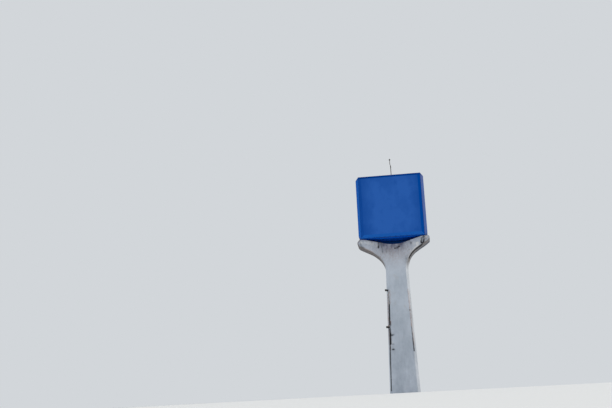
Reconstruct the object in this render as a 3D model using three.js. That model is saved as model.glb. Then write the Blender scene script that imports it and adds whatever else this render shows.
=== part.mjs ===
// Water tower: a square blue tank of bevelled panels on a flared concrete pylon.
// Millimetres, +Z up. The origin is the middle of the pylon's foot, on the ground.
// The front, with the broad face of the tank, looks along -Y, and +X is to its right.

import * as THREE from 'three';

// Pylon
const PYLON_LIFTS = ['pylon_foot', 'pylon_lower_lift', 'pylon_middle_lift', 'pylon_upper_lift'];
const NECK_Z = 4300;
const NECK_WIDTH = 784;
const NECK_DEPTH = 748;
const FOOT_WIDTH = 1028;
const FOOT_DEPTH = 992;
const PYLON_CHAMFER = 85;

// Saddle head, an uneven Y: each arm has its own reach and its own thickness
const TANK_BOTTOM_Z = 5450;
const PAD_SHEET = 10;
const SEAT_Z = TANK_BOTTOM_Z - PAD_SHEET;
const VALLEY_DROP = 245;
const VALLEY_Z = TANK_BOTTOM_Z - VALLEY_DROP;
const VALLEY_HALF = 350;
const TIP_CHAMFER = 5;
const CHAMFER_GROWTH = 2.5;
const LEFT_ARM = {
  side: -1,
  seatIn: 1100,
  seatOut: 1235,
  tipRadius: 110,
  valleyRise: 42,
  armPull: { x: 1087, drop: 373 },
  neckPull: { x: 442, drop: 524 },
};
const RIGHT_ARM = {
  side: 1,
  seatIn: 950,
  seatOut: 1180,
  tipRadius: 52,
  valleyRise: 56,
  armPull: { x: 821, drop: 426 },
  neckPull: { x: 413, drop: 465 },
};
const TIP_SWEEP = 0.75 * Math.PI;
const ARM_STEPS = 12;
const TIP_STEPS = 6;
const VALLEY_STEPS = 8;

// Tank: a frame of angles round the core box, closed by four dished panels.
// It stands a little left of the pylon's middle and a little to the back.
const TANK_X = -56;
const TANK_Y = 75;
const CORE_WIDTH = 2240;
const CORE_DEPTH = 1110;
const CORE_HEIGHT = 2300;
const PANEL_PROUD = 100;
const PANEL_SHEET = 6;
const PANEL_MARGIN = 4;
const ANGLE_LEG = 60;
const ANGLE_SHEET = 6;
const FLOOR_SHEET = 8;
const ROOF_SHEET = 6;
const ROOF_Z = TANK_BOTTOM_Z + CORE_HEIGHT;

// Seats between the saddle and the tank
const PAD_LENGTH = 600;
const PAD_INSET = 20;

// Roof hatch
const HATCH_SIZE = 600;
const HATCH_CURB = 70;
const HATCH_CURB_SHEET = 6;
const HATCH_LID_SHEET = 5;
const HATCH_LID_LIP = 25;
const HATCH_LID_PLAY = 2;
const HATCH_X = TANK_X - 620;
const HATCH_Y = TANK_Y + 110;

// Lightning rod on the pylon's axis, with a small jog where its two lengths join
const ROD_X = 18;
const ROD_FLANGE = 160;
const ROD_FLANGE_SHEET = 10;
const ROD_SOCKET_RADIUS = 24;
const ROD_SOCKET_HEIGHT = 60;
const ROD_LOWER_RADIUS = 13;
const ROD_LOWER_TOP = 500;
const ROD_JOG = -22;
const ROD_JOG_TOP = 580;
const ROD_UPPER_RADIUS = 10;
const ROD_UPPER_TOP = 720;
const ROD_SIDES = 12;
const ROD_BASE_SIDES = 16;

// The rod's tip, a ball on a flat foot that is drawn out to a point, in shares of its radius
const ROD_TIP_HEIGHT = 70;
const ROD_TIP_RADIUS = 32;
const ROD_TIP_FOOT = 0.7;
const ROD_TIP_BELLY_UP = 0.4;
const ROD_TIP_SHOULDER_UP = 0.8;
const ROD_TIP_NECK = 0.25;

// Stand-off insulators and the conductor on the pylon's left front corner
const UPPER_STANDOFF_Z = 3558;
const LOWER_STANDOFF_Z = 2260;
const STANDOFF_ARM = 40;
const STANDOFF_PLATE = 66;
const STANDOFF_SHEET = 8;
const STANDOFF_BAR = 26;
const STANDOFF_BAR_SIDES = 8;
const STANDOFF_PLACE = 0.45;
const INSULATOR_RADIUS = 36;
const INSULATOR_HEIGHT = 76;
const INSULATOR_END = 0.7;
const INSULATOR_SIDES = 16;
const CONDUCTOR_WIDTH = 34;
const CONDUCTOR_FOOT_PLACE = 0.6;
const CONDUCTOR_TOP_PLACE = 0.84;
const CONDUCTOR_SHEET = 10;
const CONDUCTOR_BREAK = 60;
const CONDUCTOR_FOOT_Z = 90;
const CLIP_HEIGHT = 30;
const CLIP_WIDTH = 40;
const CLIP_SHEET = 6;
const CLIP_HEIGHTS = [500, 1400, 2760, 3300];

const SEAT_GAP = 0.3;
const LEAN_GAP = 0.8;
const SQUARE_CORNERS = [[-1, -1], [1, -1], [1, 1], [-1, 1]];

const concrete = { color: 0x9da7b0, roughness: 0.92, metalness: 0 };
const panelBlue = { color: 0x21509b, roughness: 0.35, metalness: 0.1 };
const frameBlue = { color: 0x0d3f86, roughness: 0.4, metalness: 0.1 };
const undersideNavy = { color: 0x06245a, roughness: 0.6, metalness: 0 };
const rubberBlack = { color: 0x1c1d1f, roughness: 0.9, metalness: 0 };
const galvanised = { color: 0x8d9499, roughness: 0.45, metalness: 0.9 };
const insulatorBlack = { color: 0x17181a, roughness: 0.4, metalness: 0 };

const tower = new THREE.Group();

// Adds one named piece with its own material.
function addPiece(name, geometry, finish) {
  const mesh = new THREE.Mesh(geometry, new THREE.MeshStandardMaterial(finish));
  mesh.name = name;
  tower.add(mesh);
  return mesh;
}

// A box between two corners.
function boxBetween(low, high) {
  const size = high.map((value, i) => value - low[i]);
  const middle = high.map((value, i) => (value + low[i]) / 2);
  return new THREE.BoxGeometry(...size).translate(...middle);
}

// The normal of a flat ring of points, by the sum of its edges' cross products.
function ringNormal(ring) {
  const normal = new THREE.Vector3();
  ring.forEach((point, i) => {
    const next = ring[(i + 1) % ring.length];
    normal.add(new THREE.Vector3().crossVectors(point, next));
  });
  return normal.normalize();
}

// Triangles that fill a flat ring, turning the same way as the ring.
function ringCap(ring) {
  const normal = ringNormal(ring);
  const u = new THREE.Vector3().subVectors(ring[1], ring[0]).normalize();
  const v = new THREE.Vector3().crossVectors(normal, u);
  const flat = ring.map((point) => new THREE.Vector2(point.dot(u), point.dot(v)));
  return THREE.ShapeUtils.triangulateShape(flat, []);
}

// A closed body through rings with equal counts; the last ring's face points along outward.
function loft(rings, outward) {
  const turned = ringNormal(rings[rings.length - 1]).dot(outward) < 0;
  const ordered = rings.map((ring) => (turned ? [...ring].reverse() : ring));
  const count = ordered[0].length;
  const positions = ordered.flat().flatMap((point) => [point.x, point.y, point.z]);
  const faces = [];
  for (let r = 0; r + 1 < ordered.length; r += 1) {
    for (let i = 0; i < count; i += 1) {
      const a = r * count + i;
      const b = r * count + ((i + 1) % count);
      faces.push(a, b, b + count, a, b + count, a + count);
    }
  }
  const last = (ordered.length - 1) * count;
  for (const [p, q, s] of ringCap(ordered[0])) {
    faces.push(p, s, q);
  }
  for (const [p, q, s] of ringCap(ordered[ordered.length - 1])) {
    faces.push(last + p, last + q, last + s);
  }
  const geometry = new THREE.BufferGeometry();
  geometry.setAttribute('position', new THREE.Float32BufferAttribute(positions, 3));
  geometry.setIndex(faces);
  return geometry;
}

// Half the pylon's width and half its depth at a height, between the foot and the neck.
function pylonHalf(z) {
  const t = z / NECK_Z;
  return {
    x: THREE.MathUtils.lerp(FOOT_WIDTH, NECK_WIDTH, t) / 2,
    y: THREE.MathUtils.lerp(FOOT_DEPTH, NECK_DEPTH, t) / 2,
  };
}

// The pylon's section at a height: a rectangle with its four corners cut off.
function pylonRing(z) {
  const half = pylonHalf(z);
  const c = PYLON_CHAMFER;
  const corner = [[half.x, half.y - c], [half.x - c, half.y]];
  const turns = [[1, 1, false], [-1, 1, true], [-1, -1, false], [1, -1, true]];
  return turns.flatMap(([sx, sy, swap]) => {
    const pair = swap ? [...corner].reverse() : corner;
    return pair.map(([x, y]) => new THREE.Vector3(sx * x, sy * y, z));
  });
}

function addPylon() {
  const lift = NECK_Z / PYLON_LIFTS.length;
  PYLON_LIFTS.forEach((name, i) => {
    const rings = [pylonRing(i * lift), pylonRing((i + 1) * lift)];
    addPiece(name, loft(rings, new THREE.Vector3(0, 0, 1)), concrete);
  });
}

// One arm's outline from the seat, round the tip and down to the neck, with the cut of its edge.
function armOutline(arm) {
  const tipZ = SEAT_Z - arm.tipRadius;
  const outline = [{ x: arm.side * arm.seatIn, z: SEAT_Z, cut: 0 }];
  for (let i = 0; i <= TIP_STEPS; i += 1) {
    const angle = Math.PI / 2 - (i / TIP_STEPS) * TIP_SWEEP;
    outline.push({
      x: arm.side * (arm.seatOut + arm.tipRadius * Math.cos(angle)),
      z: tipZ + arm.tipRadius * Math.sin(angle),
      cut: TIP_CHAMFER * Math.min(1, (2 * i) / TIP_STEPS),
    });
  }
  const tip = outline[outline.length - 1];
  const under = new THREE.CubicBezierCurve(
    new THREE.Vector2(tip.x, tip.z),
    new THREE.Vector2(arm.side * arm.armPull.x, TANK_BOTTOM_Z - arm.armPull.drop),
    new THREE.Vector2(arm.side * arm.neckPull.x, TANK_BOTTOM_Z - arm.neckPull.drop),
    new THREE.Vector2((arm.side * NECK_WIDTH) / 2, NECK_Z),
  );
  for (let i = 1; i <= ARM_STEPS; i += 1) {
    const t = i / ARM_STEPS;
    const point = under.getPoint(t);
    const cut = THREE.MathUtils.lerp(TIP_CHAMFER, PYLON_CHAMFER, t ** CHAMFER_GROWTH);
    outline.push({ x: point.x, z: point.y, cut });
  }
  return outline;
}

// The valley between the seats: two straight slopes with a rounded bottom.
function valleyOutline() {
  const left = new THREE.Vector2(-VALLEY_HALF, VALLEY_Z + LEFT_ARM.valleyRise);
  const right = new THREE.Vector2(VALLEY_HALF, VALLEY_Z + RIGHT_ARM.valleyRise);
  const low = new THREE.Vector2(0, 2 * VALLEY_Z - (left.y + right.y) / 2);
  const curve = new THREE.QuadraticBezierCurve(left, low, right);
  return curve.getPoints(VALLEY_STEPS).map((point) => ({ x: point.x, z: point.y, cut: 0 }));
}

// The head's outline, moved inwards by its cut where inset is true, at depth y.
function headRing(y, inset) {
  const outline = [
    ...valleyOutline(),
    ...armOutline(RIGHT_ARM),
    ...armOutline(LEFT_ARM).reverse(),
  ];
  return outline.map((point, i) => {
    const before = outline[(i + outline.length - 1) % outline.length];
    const after = outline[(i + 1) % outline.length];
    const along = new THREE.Vector2(after.x - before.x, after.z - before.z).normalize();
    const level = new THREE.Vector2(-Math.sign(point.x), 0);
    const inward = point.z === NECK_Z ? level : new THREE.Vector2(along.y, -along.x);
    const cut = inset ? point.cut : 0;
    return new THREE.Vector3(point.x + inward.x * cut, y, point.z + inward.y * cut);
  });
}

function addSaddleHead() {
  const face = NECK_DEPTH / 2;
  const shoulder = face - PYLON_CHAMFER;
  const rings = [
    headRing(-face, true),
    headRing(-shoulder, false),
    headRing(shoulder, false),
    headRing(face, true),
  ];
  addPiece('saddle_head', loft(rings, new THREE.Vector3(0, 1, 0)), concrete);
}

function addSeatPads() {
  const core = CORE_WIDTH / 2 + PANEL_PROUD;
  for (const [name, arm] of [['left_seat_pad', LEFT_ARM], ['right_seat_pad', RIGHT_ARM]]) {
    const inner = arm.side * (arm.seatIn + PAD_INSET);
    const outer = TANK_X + arm.side * core;
    const low = [Math.min(inner, outer), -PAD_LENGTH / 2, SEAT_Z];
    const high = [Math.max(inner, outer), PAD_LENGTH / 2, TANK_BOTTOM_Z];
    addPiece(name, boxBetween(low, high), rubberBlack);
  }
}

// An angle section with its outer corner at the origin and its legs along +X and +Y.
function angleShape() {
  const shape = new THREE.Shape();
  shape.moveTo(0, 0);
  shape.lineTo(ANGLE_LEG, 0);
  shape.lineTo(ANGLE_LEG, ANGLE_SHEET);
  shape.lineTo(ANGLE_SHEET, ANGLE_SHEET);
  shape.lineTo(ANGLE_SHEET, ANGLE_LEG);
  shape.lineTo(0, ANGLE_LEG);
  shape.closePath();
  return shape;
}

// An angle bar from the section, turned so that its own X, Y and length lie on the given axes.
function angleBar(length, axisX, axisY, corner) {
  const geometry = new THREE.ExtrudeGeometry(angleShape(), { depth: length, bevelEnabled: false });
  const axisZ = new THREE.Vector3().crossVectors(axisX, axisY);
  geometry.applyMatrix4(new THREE.Matrix4().makeBasis(axisX, axisY, axisZ));
  return geometry.translate(corner.x, corner.y, corner.z);
}

const X = new THREE.Vector3(1, 0, 0);
const Y = new THREE.Vector3(0, 1, 0);
const Z = new THREE.Vector3(0, 0, 1);

function addTankFrame() {
  const halfX = CORE_WIDTH / 2;
  const halfY = CORE_DEPTH / 2;
  const low = TANK_BOTTOM_Z;
  const high = ROOF_Z - ROOF_SHEET;
  const corners = [
    ['front_left_post', -1, -1, X, Y],
    ['front_right_post', 1, -1, Y, X.clone().negate()],
    ['back_right_post', 1, 1, X.clone().negate(), Y.clone().negate()],
    ['back_left_post', -1, 1, Y.clone().negate(), X],
  ];
  for (const [name, sx, sy, axisX, axisY] of corners) {
    const corner = new THREE.Vector3(TANK_X + sx * halfX, TANK_Y + sy * halfY, low);
    addPiece(name, angleBar(high - low, axisX, axisY, corner), frameBlue);
  }
  const reachX = halfX - ANGLE_LEG - SEAT_GAP;
  const reachY = halfY - ANGLE_LEG - SEAT_GAP;
  const sides = [
    ['front', -1, 0], ['back', 1, 0], ['left', 0, -1], ['right', 0, 1],
  ];
  for (const [side, sy, sx] of sides) {
    for (const [level, z, up] of [['bottom', low, 1], ['top', high, -1]]) {
      const inward = sy !== 0 ? Y.clone().multiplyScalar(-sy) : X.clone().multiplyScalar(-sx);
      const rise = Z.clone().multiplyScalar(up);
      const run = new THREE.Vector3().crossVectors(inward, rise);
      const reach = sy !== 0 ? reachX : reachY;
      const corner = new THREE.Vector3(TANK_X + sx * halfX, TANK_Y + sy * halfY, z);
      corner.addScaledVector(run, -reach);
      addPiece(`${side}_${level}_rail`, angleBar(2 * reach, inward, rise, corner), frameBlue);
    }
  }
}

// A dished panel: a sheet that stands proud of the frame with a bevelled edge all round.
function dishedPanel(width, face, outward) {
  const across = new THREE.Vector3().crossVectors(Z, outward);
  const middle = TANK_BOTTOM_Z + CORE_HEIGHT / 2;
  const halfWidth = width / 2 - PANEL_MARGIN;
  const halfHeight = CORE_HEIGHT / 2 - PANEL_MARGIN;
  const ring = (inset, proud) => SQUARE_CORNERS.map(([sa, sz]) => {
    const point = new THREE.Vector3(TANK_X, TANK_Y, middle + sz * (halfHeight - inset));
    point.addScaledVector(across, sa * (halfWidth - inset));
    return point.addScaledVector(outward, face + proud);
  });
  const slant = PANEL_SHEET * Math.SQRT2;
  const flat = PANEL_PROUD - PANEL_SHEET;
  const rings = [ring(slant + flat, flat), ring(slant, 0), ring(0, 0), ring(PANEL_PROUD, PANEL_PROUD)];
  return loft(rings, outward);
}

function addTankPanels() {
  const panels = [
    ['front_panel', CORE_WIDTH, CORE_DEPTH / 2, Y.clone().negate()],
    ['back_panel', CORE_WIDTH, CORE_DEPTH / 2, Y],
    ['left_panel', CORE_DEPTH, CORE_WIDTH / 2, X.clone().negate()],
    ['right_panel', CORE_DEPTH, CORE_WIDTH / 2, X],
  ];
  for (const [name, width, face, outward] of panels) {
    addPiece(name, dishedPanel(width, face, outward), panelBlue);
  }
}

// The floor lies inside the bottom rails, notched round the posts by stopping at their inner faces.
function addTankFloor() {
  const halfX = CORE_WIDTH / 2 - ANGLE_SHEET - SEAT_GAP;
  const halfY = CORE_DEPTH / 2 - ANGLE_SHEET - SEAT_GAP;
  const post = ANGLE_LEG - ANGLE_SHEET;
  const shape = new THREE.Shape();
  shape.moveTo(-halfX + post, -halfY);
  shape.lineTo(halfX - post, -halfY);
  shape.lineTo(halfX - post, -halfY + post);
  shape.lineTo(halfX, -halfY + post);
  shape.lineTo(halfX, halfY - post);
  shape.lineTo(halfX - post, halfY - post);
  shape.lineTo(halfX - post, halfY);
  shape.lineTo(-halfX + post, halfY);
  shape.lineTo(-halfX + post, halfY - post);
  shape.lineTo(-halfX, halfY - post);
  shape.lineTo(-halfX, -halfY + post);
  shape.lineTo(-halfX + post, -halfY + post);
  shape.closePath();
  const floor = new THREE.ExtrudeGeometry(shape, { depth: FLOOR_SHEET, bevelEnabled: false });
  floor.translate(TANK_X, TANK_Y, TANK_BOTTOM_Z + ANGLE_SHEET);
  addPiece('tank_floor', floor, undersideNavy);
}

// A square hole in a shape, wound against the outline.
function squareHole(x, y, size) {
  const half = size / 2;
  const hole = new THREE.Path();
  hole.moveTo(x - half, y - half);
  hole.lineTo(x - half, y + half);
  hole.lineTo(x + half, y + half);
  hole.lineTo(x + half, y - half);
  hole.closePath();
  return hole;
}

function squareShape(x, y, width, depth) {
  const shape = new THREE.Shape();
  shape.moveTo(x - width / 2, y - depth / 2);
  shape.lineTo(x + width / 2, y - depth / 2);
  shape.lineTo(x + width / 2, y + depth / 2);
  shape.lineTo(x - width / 2, y + depth / 2);
  shape.closePath();
  return shape;
}

function extrudeUp(shape, z, height) {
  return new THREE.ExtrudeGeometry(shape, { depth: height, bevelEnabled: false }).translate(0, 0, z);
}

function addTankRoof() {
  const roof = squareShape(TANK_X, TANK_Y, CORE_WIDTH, CORE_DEPTH);
  roof.holes.push(squareHole(HATCH_X, HATCH_Y, HATCH_SIZE - 2 * HATCH_CURB_SHEET));
  addPiece('tank_roof', extrudeUp(roof, ROOF_Z - ROOF_SHEET, ROOF_SHEET), panelBlue);
}

function addRoofHatch() {
  const curb = squareShape(HATCH_X, HATCH_Y, HATCH_SIZE, HATCH_SIZE);
  curb.holes.push(squareHole(HATCH_X, HATCH_Y, HATCH_SIZE - 2 * HATCH_CURB_SHEET));
  addPiece('roof_hatch_curb', extrudeUp(curb, ROOF_Z, HATCH_CURB), frameBlue);
  const inner = HATCH_SIZE / 2 + HATCH_LID_PLAY;
  const outer = inner + HATCH_LID_SHEET;
  const under = ROOF_Z + HATCH_CURB;
  const lip = under - HATCH_LID_LIP;
  const square = (half, z) => SQUARE_CORNERS.map(
    ([sx, sy]) => new THREE.Vector3(HATCH_X + sx * half, HATCH_Y + sy * half, z),
  );
  const lid = loft([
    square(inner, under),
    square(inner, lip),
    square(outer, lip),
    square(outer, under + HATCH_LID_SHEET),
  ], Z);
  addPiece('roof_hatch_lid', lid, frameBlue);
}

// A round bar between two points.
function roundBar(from, to, radius, sides) {
  const along = new THREE.Vector3().subVectors(to, from);
  const bar = new THREE.CylinderGeometry(radius, radius, along.length(), sides);
  const turn = new THREE.Quaternion().setFromUnitVectors(Y, along.clone().normalize());
  bar.applyQuaternion(turn);
  const middle = new THREE.Vector3().addVectors(from, to).multiplyScalar(0.5);
  return bar.translate(middle.x, middle.y, middle.z);
}

// A turned piece from its profile of radius and height, standing along +Z.
function turned(profile, sides) {
  const points = profile.map(([radius, height]) => new THREE.Vector2(radius, height));
  return new THREE.LatheGeometry(points, sides).rotateX(Math.PI / 2);
}

function addLightningRod() {
  const base = turned([
    [0, 0], [ROD_FLANGE / 2, 0], [ROD_FLANGE / 2, ROD_FLANGE_SHEET],
    [ROD_SOCKET_RADIUS, ROD_FLANGE_SHEET], [ROD_SOCKET_RADIUS, ROD_SOCKET_HEIGHT],
    [0, ROD_SOCKET_HEIGHT],
  ], ROD_BASE_SIDES);
  addPiece('rod_base', base.translate(ROD_X, 0, ROOF_Z), galvanised);
  const foot = new THREE.Vector3(ROD_X, 0, ROOF_Z + ROD_SOCKET_HEIGHT);
  const knee = new THREE.Vector3(ROD_X, 0, ROOF_Z + ROD_LOWER_TOP);
  addPiece('rod_lower', roundBar(foot, knee, ROD_LOWER_RADIUS, ROD_SIDES), galvanised);
  const jogRing = (x, z) => Array.from({ length: ROD_SIDES }, (_, i) => {
    const angle = (i / ROD_SIDES) * 2 * Math.PI;
    const reach = ROD_UPPER_RADIUS * Math.cos(angle);
    return new THREE.Vector3(x + reach, ROD_UPPER_RADIUS * Math.sin(angle), ROOF_Z + z);
  });
  const upperX = ROD_X + ROD_JOG;
  const upper = loft([
    jogRing(ROD_X, ROD_LOWER_TOP),
    jogRing(upperX, ROD_JOG_TOP),
    jogRing(upperX, ROD_UPPER_TOP),
  ], Z);
  addPiece('rod_upper', upper, galvanised);
  const r = ROD_TIP_RADIUS;
  const tip = turned([
    [0, 0], [r * ROD_TIP_FOOT, 0], [r, r * ROD_TIP_BELLY_UP],
    [r * ROD_TIP_FOOT, r * ROD_TIP_SHOULDER_UP], [r * ROD_TIP_NECK, r], [0, ROD_TIP_HEIGHT],
  ], ROD_SIDES);
  addPiece('rod_tip', tip.translate(upperX, 0, ROOF_Z + ROD_UPPER_TOP), galvanised);
}

// A point of the left front chamfer: place runs from 0 at the side face to 1 at the front face.
function chamferPoint(z, place) {
  const half = pylonHalf(z);
  const x = -half.x + place * PYLON_CHAMFER;
  const y = -half.y + (1 - place) * PYLON_CHAMFER;
  return new THREE.Vector3(x, y, z);
}

const CHAMFER_OUT = new THREE.Vector3(-Math.SQRT1_2, -Math.SQRT1_2, 0);
const CHAMFER_ALONG = new THREE.Vector3(Math.SQRT1_2, -Math.SQRT1_2, 0);

// The conductor's place on the chamfer: it climbs slowly from the middle towards the front face.
function conductorPlace(z) {
  return THREE.MathUtils.lerp(CONDUCTOR_FOOT_PLACE, CONDUCTOR_TOP_PLACE, z / UPPER_STANDOFF_Z);
}

// A flat strip on the chamfer between two heights, from near to far out of its face.
function chamferStrip(lowZ, highZ, placeAt, width, near, far) {
  const corners = [[-1, near], [1, near], [1, far], [-1, far]];
  const ring = (z) => corners.map(([side, out]) => chamferPoint(z, placeAt(z))
    .addScaledVector(CHAMFER_ALONG, (side * width) / 2)
    .addScaledVector(CHAMFER_OUT, out));
  return loft([ring(lowZ), ring(highZ)], Z);
}

// A stand-off on the chamfer: a plate, a level bar that holds an insulator, and the insulator.
// The plate leans with the pylon, so the bar's end keeps a little more room to it.
function addStandoff(level, z) {
  const halfPlate = STANDOFF_PLATE / 2;
  const low = z - halfPlate;
  const high = z + halfPlate;
  const face = SEAT_GAP + STANDOFF_SHEET;
  const plate = chamferStrip(low, high, () => STANDOFF_PLACE, STANDOFF_PLATE, SEAT_GAP, face);
  addPiece(`${level}_standoff_plate`, plate, insulatorBlack);
  const foot = chamferPoint(z, STANDOFF_PLACE);
  const from = foot.clone().addScaledVector(CHAMFER_OUT, face + LEAN_GAP);
  const to = foot.clone().addScaledVector(CHAMFER_OUT, face + STANDOFF_ARM);
  const bar = roundBar(from, to, STANDOFF_BAR / 2, STANDOFF_BAR_SIDES);
  addPiece(`${level}_standoff_arm`, bar, insulatorBlack);
  const end = INSULATOR_RADIUS * INSULATOR_END;
  const half = INSULATOR_HEIGHT / 2;
  const knob = turned([
    [0, -half], [end, -half], [INSULATOR_RADIUS, -half / 2],
    [INSULATOR_RADIUS, half / 2], [end, half], [0, half],
  ], INSULATOR_SIDES);
  const middle = to.addScaledVector(CHAMFER_OUT, INSULATOR_RADIUS + SEAT_GAP);
  addPiece(`${level}_insulator`, knob.translate(middle.x, middle.y, z), insulatorBlack);
}

function addConductor() {
  const runs = [
    ['conductor_lower_run', CONDUCTOR_FOOT_Z, LOWER_STANDOFF_Z - CONDUCTOR_BREAK],
    ['conductor_upper_run', LOWER_STANDOFF_Z + CONDUCTOR_BREAK, UPPER_STANDOFF_Z - CONDUCTOR_BREAK],
  ];
  for (const [name, low, high] of runs) {
    const strip = chamferStrip(low, high, conductorPlace, CONDUCTOR_WIDTH, SEAT_GAP, CONDUCTOR_SHEET);
    addPiece(name, strip, rubberBlack);
  }
  CLIP_HEIGHTS.forEach((z, i) => {
    const near = CONDUCTOR_SHEET + SEAT_GAP;
    const clip = chamferStrip(z, z + CLIP_HEIGHT, conductorPlace, CLIP_WIDTH, near, near + CLIP_SHEET);
    addPiece(`conductor_clip_${i + 1}`, clip, galvanised);
  });
}

addPylon();
addSaddleHead();
addSeatPads();
addTankFrame();
addTankFloor();
addTankPanels();
addTankRoof();
addRoofHatch();
addLightningRod();
addStandoff('upper', UPPER_STANDOFF_Z);
addStandoff('lower', LOWER_STANDOFF_Z);
addConductor();

export default tower;
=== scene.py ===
"""Looks for a water tower: a square blue tank of bevelled panels on a flared concrete pylon.

The front faces -Y, +X is to its right and +Z is up. The origin is the middle of the pylon's foot.
Sizes are millimetres here, and become metres where a mesh, a texture or the camera is made.
"""

import logging
import math
from dataclasses import dataclass, field
from enum import Enum

import bmesh
import bpy
import numpy as np
from mathutils import Matrix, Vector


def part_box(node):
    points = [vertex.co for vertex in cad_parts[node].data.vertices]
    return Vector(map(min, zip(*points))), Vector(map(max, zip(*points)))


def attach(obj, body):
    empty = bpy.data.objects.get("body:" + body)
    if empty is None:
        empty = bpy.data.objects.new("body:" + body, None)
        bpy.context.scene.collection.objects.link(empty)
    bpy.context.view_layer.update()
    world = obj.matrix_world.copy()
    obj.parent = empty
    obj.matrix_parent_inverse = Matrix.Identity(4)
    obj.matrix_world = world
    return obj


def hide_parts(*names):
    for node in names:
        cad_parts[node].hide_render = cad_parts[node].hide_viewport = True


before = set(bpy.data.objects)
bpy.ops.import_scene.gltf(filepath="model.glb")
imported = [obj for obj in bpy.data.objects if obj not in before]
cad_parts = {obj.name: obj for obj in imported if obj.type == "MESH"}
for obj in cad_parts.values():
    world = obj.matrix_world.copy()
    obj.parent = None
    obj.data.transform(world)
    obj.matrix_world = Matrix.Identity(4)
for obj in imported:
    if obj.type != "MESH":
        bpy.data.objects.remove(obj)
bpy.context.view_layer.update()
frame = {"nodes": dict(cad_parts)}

Array = np.ndarray
Material = bpy.types.Material
Pair = tuple[float, float]
Piece = bpy.types.Object
Socket = bpy.types.NodeSocket
Triple = tuple[float, float, float]

MM = 0.001
TINY = 1e-9
MERGE_DISTANCE = 0.05
SHARP_ANGLE = math.radians(50)
NEARLY_UPRIGHT = 0.9
SHORT_EDGE_SHARE = 0.45
WAVE_COUNT = 8
WAVE_SPAN = (0.7, 1.5)
BODY = "root"
LOG = logging.getLogger("water_tower")

X = np.array([1.0, 0.0, 0.0])
Y = np.array([0.0, 1.0, 0.0])
Z = np.array([0.0, 0.0, 1.0])
SQUARE = np.array([(-1, -1), (1, -1), (1, 1), (-1, 1)])


class Ends(Enum):
    """How the first and the last ring of a grid are finished."""

    CAPPED = "a fan of triangles closes each end"
    TIPPED = "the end rings are folded flat, and their doubles are merged"
    DOMED = "only the last ring is closed, by a fan; the first is a sheet's rim"


class Side(Enum):
    """Left or right of the tower, as its sign along X."""

    LEFT = -1
    RIGHT = 1


# Colours and nodes


def linear(colour: str) -> tuple[float, float, float, float]:
    """Turns an sRGB hex colour to linear light.

    Args:
        colour: the colour as "#RRGGBB".

    Returns:
        Red, green, blue and alpha, each from 0 to 1.
    """
    channels = [int(colour[i : i + 2], 16) / 255 for i in (1, 3, 5)]
    light = [c / 12.92 if c <= 0.04045 else ((c + 0.055) / 1.055) ** 2.4 for c in channels]
    return (*light, 1.0)


def add_node(tree: bpy.types.NodeTree, kind: str, inputs: dict | None = None, **settings) -> bpy.types.Node:
    """Adds one node with its settings and links.

    Args:
        tree: the node tree.
        kind: the node's type name, such as "ShaderNodeTexNoise".
        inputs: a value or an output socket to link, for each input's name or number.
        settings: the node's own properties.

    Returns:
        The new node.
    """
    node = tree.nodes.new(kind)
    for name, value in settings.items():
        setattr(node, name, value)
    for name, value in (inputs or {}).items():
        if isinstance(value, Socket):
            tree.links.new(value, node.inputs[name])
        else:
            node.inputs[name].default_value = value
    return node


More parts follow.
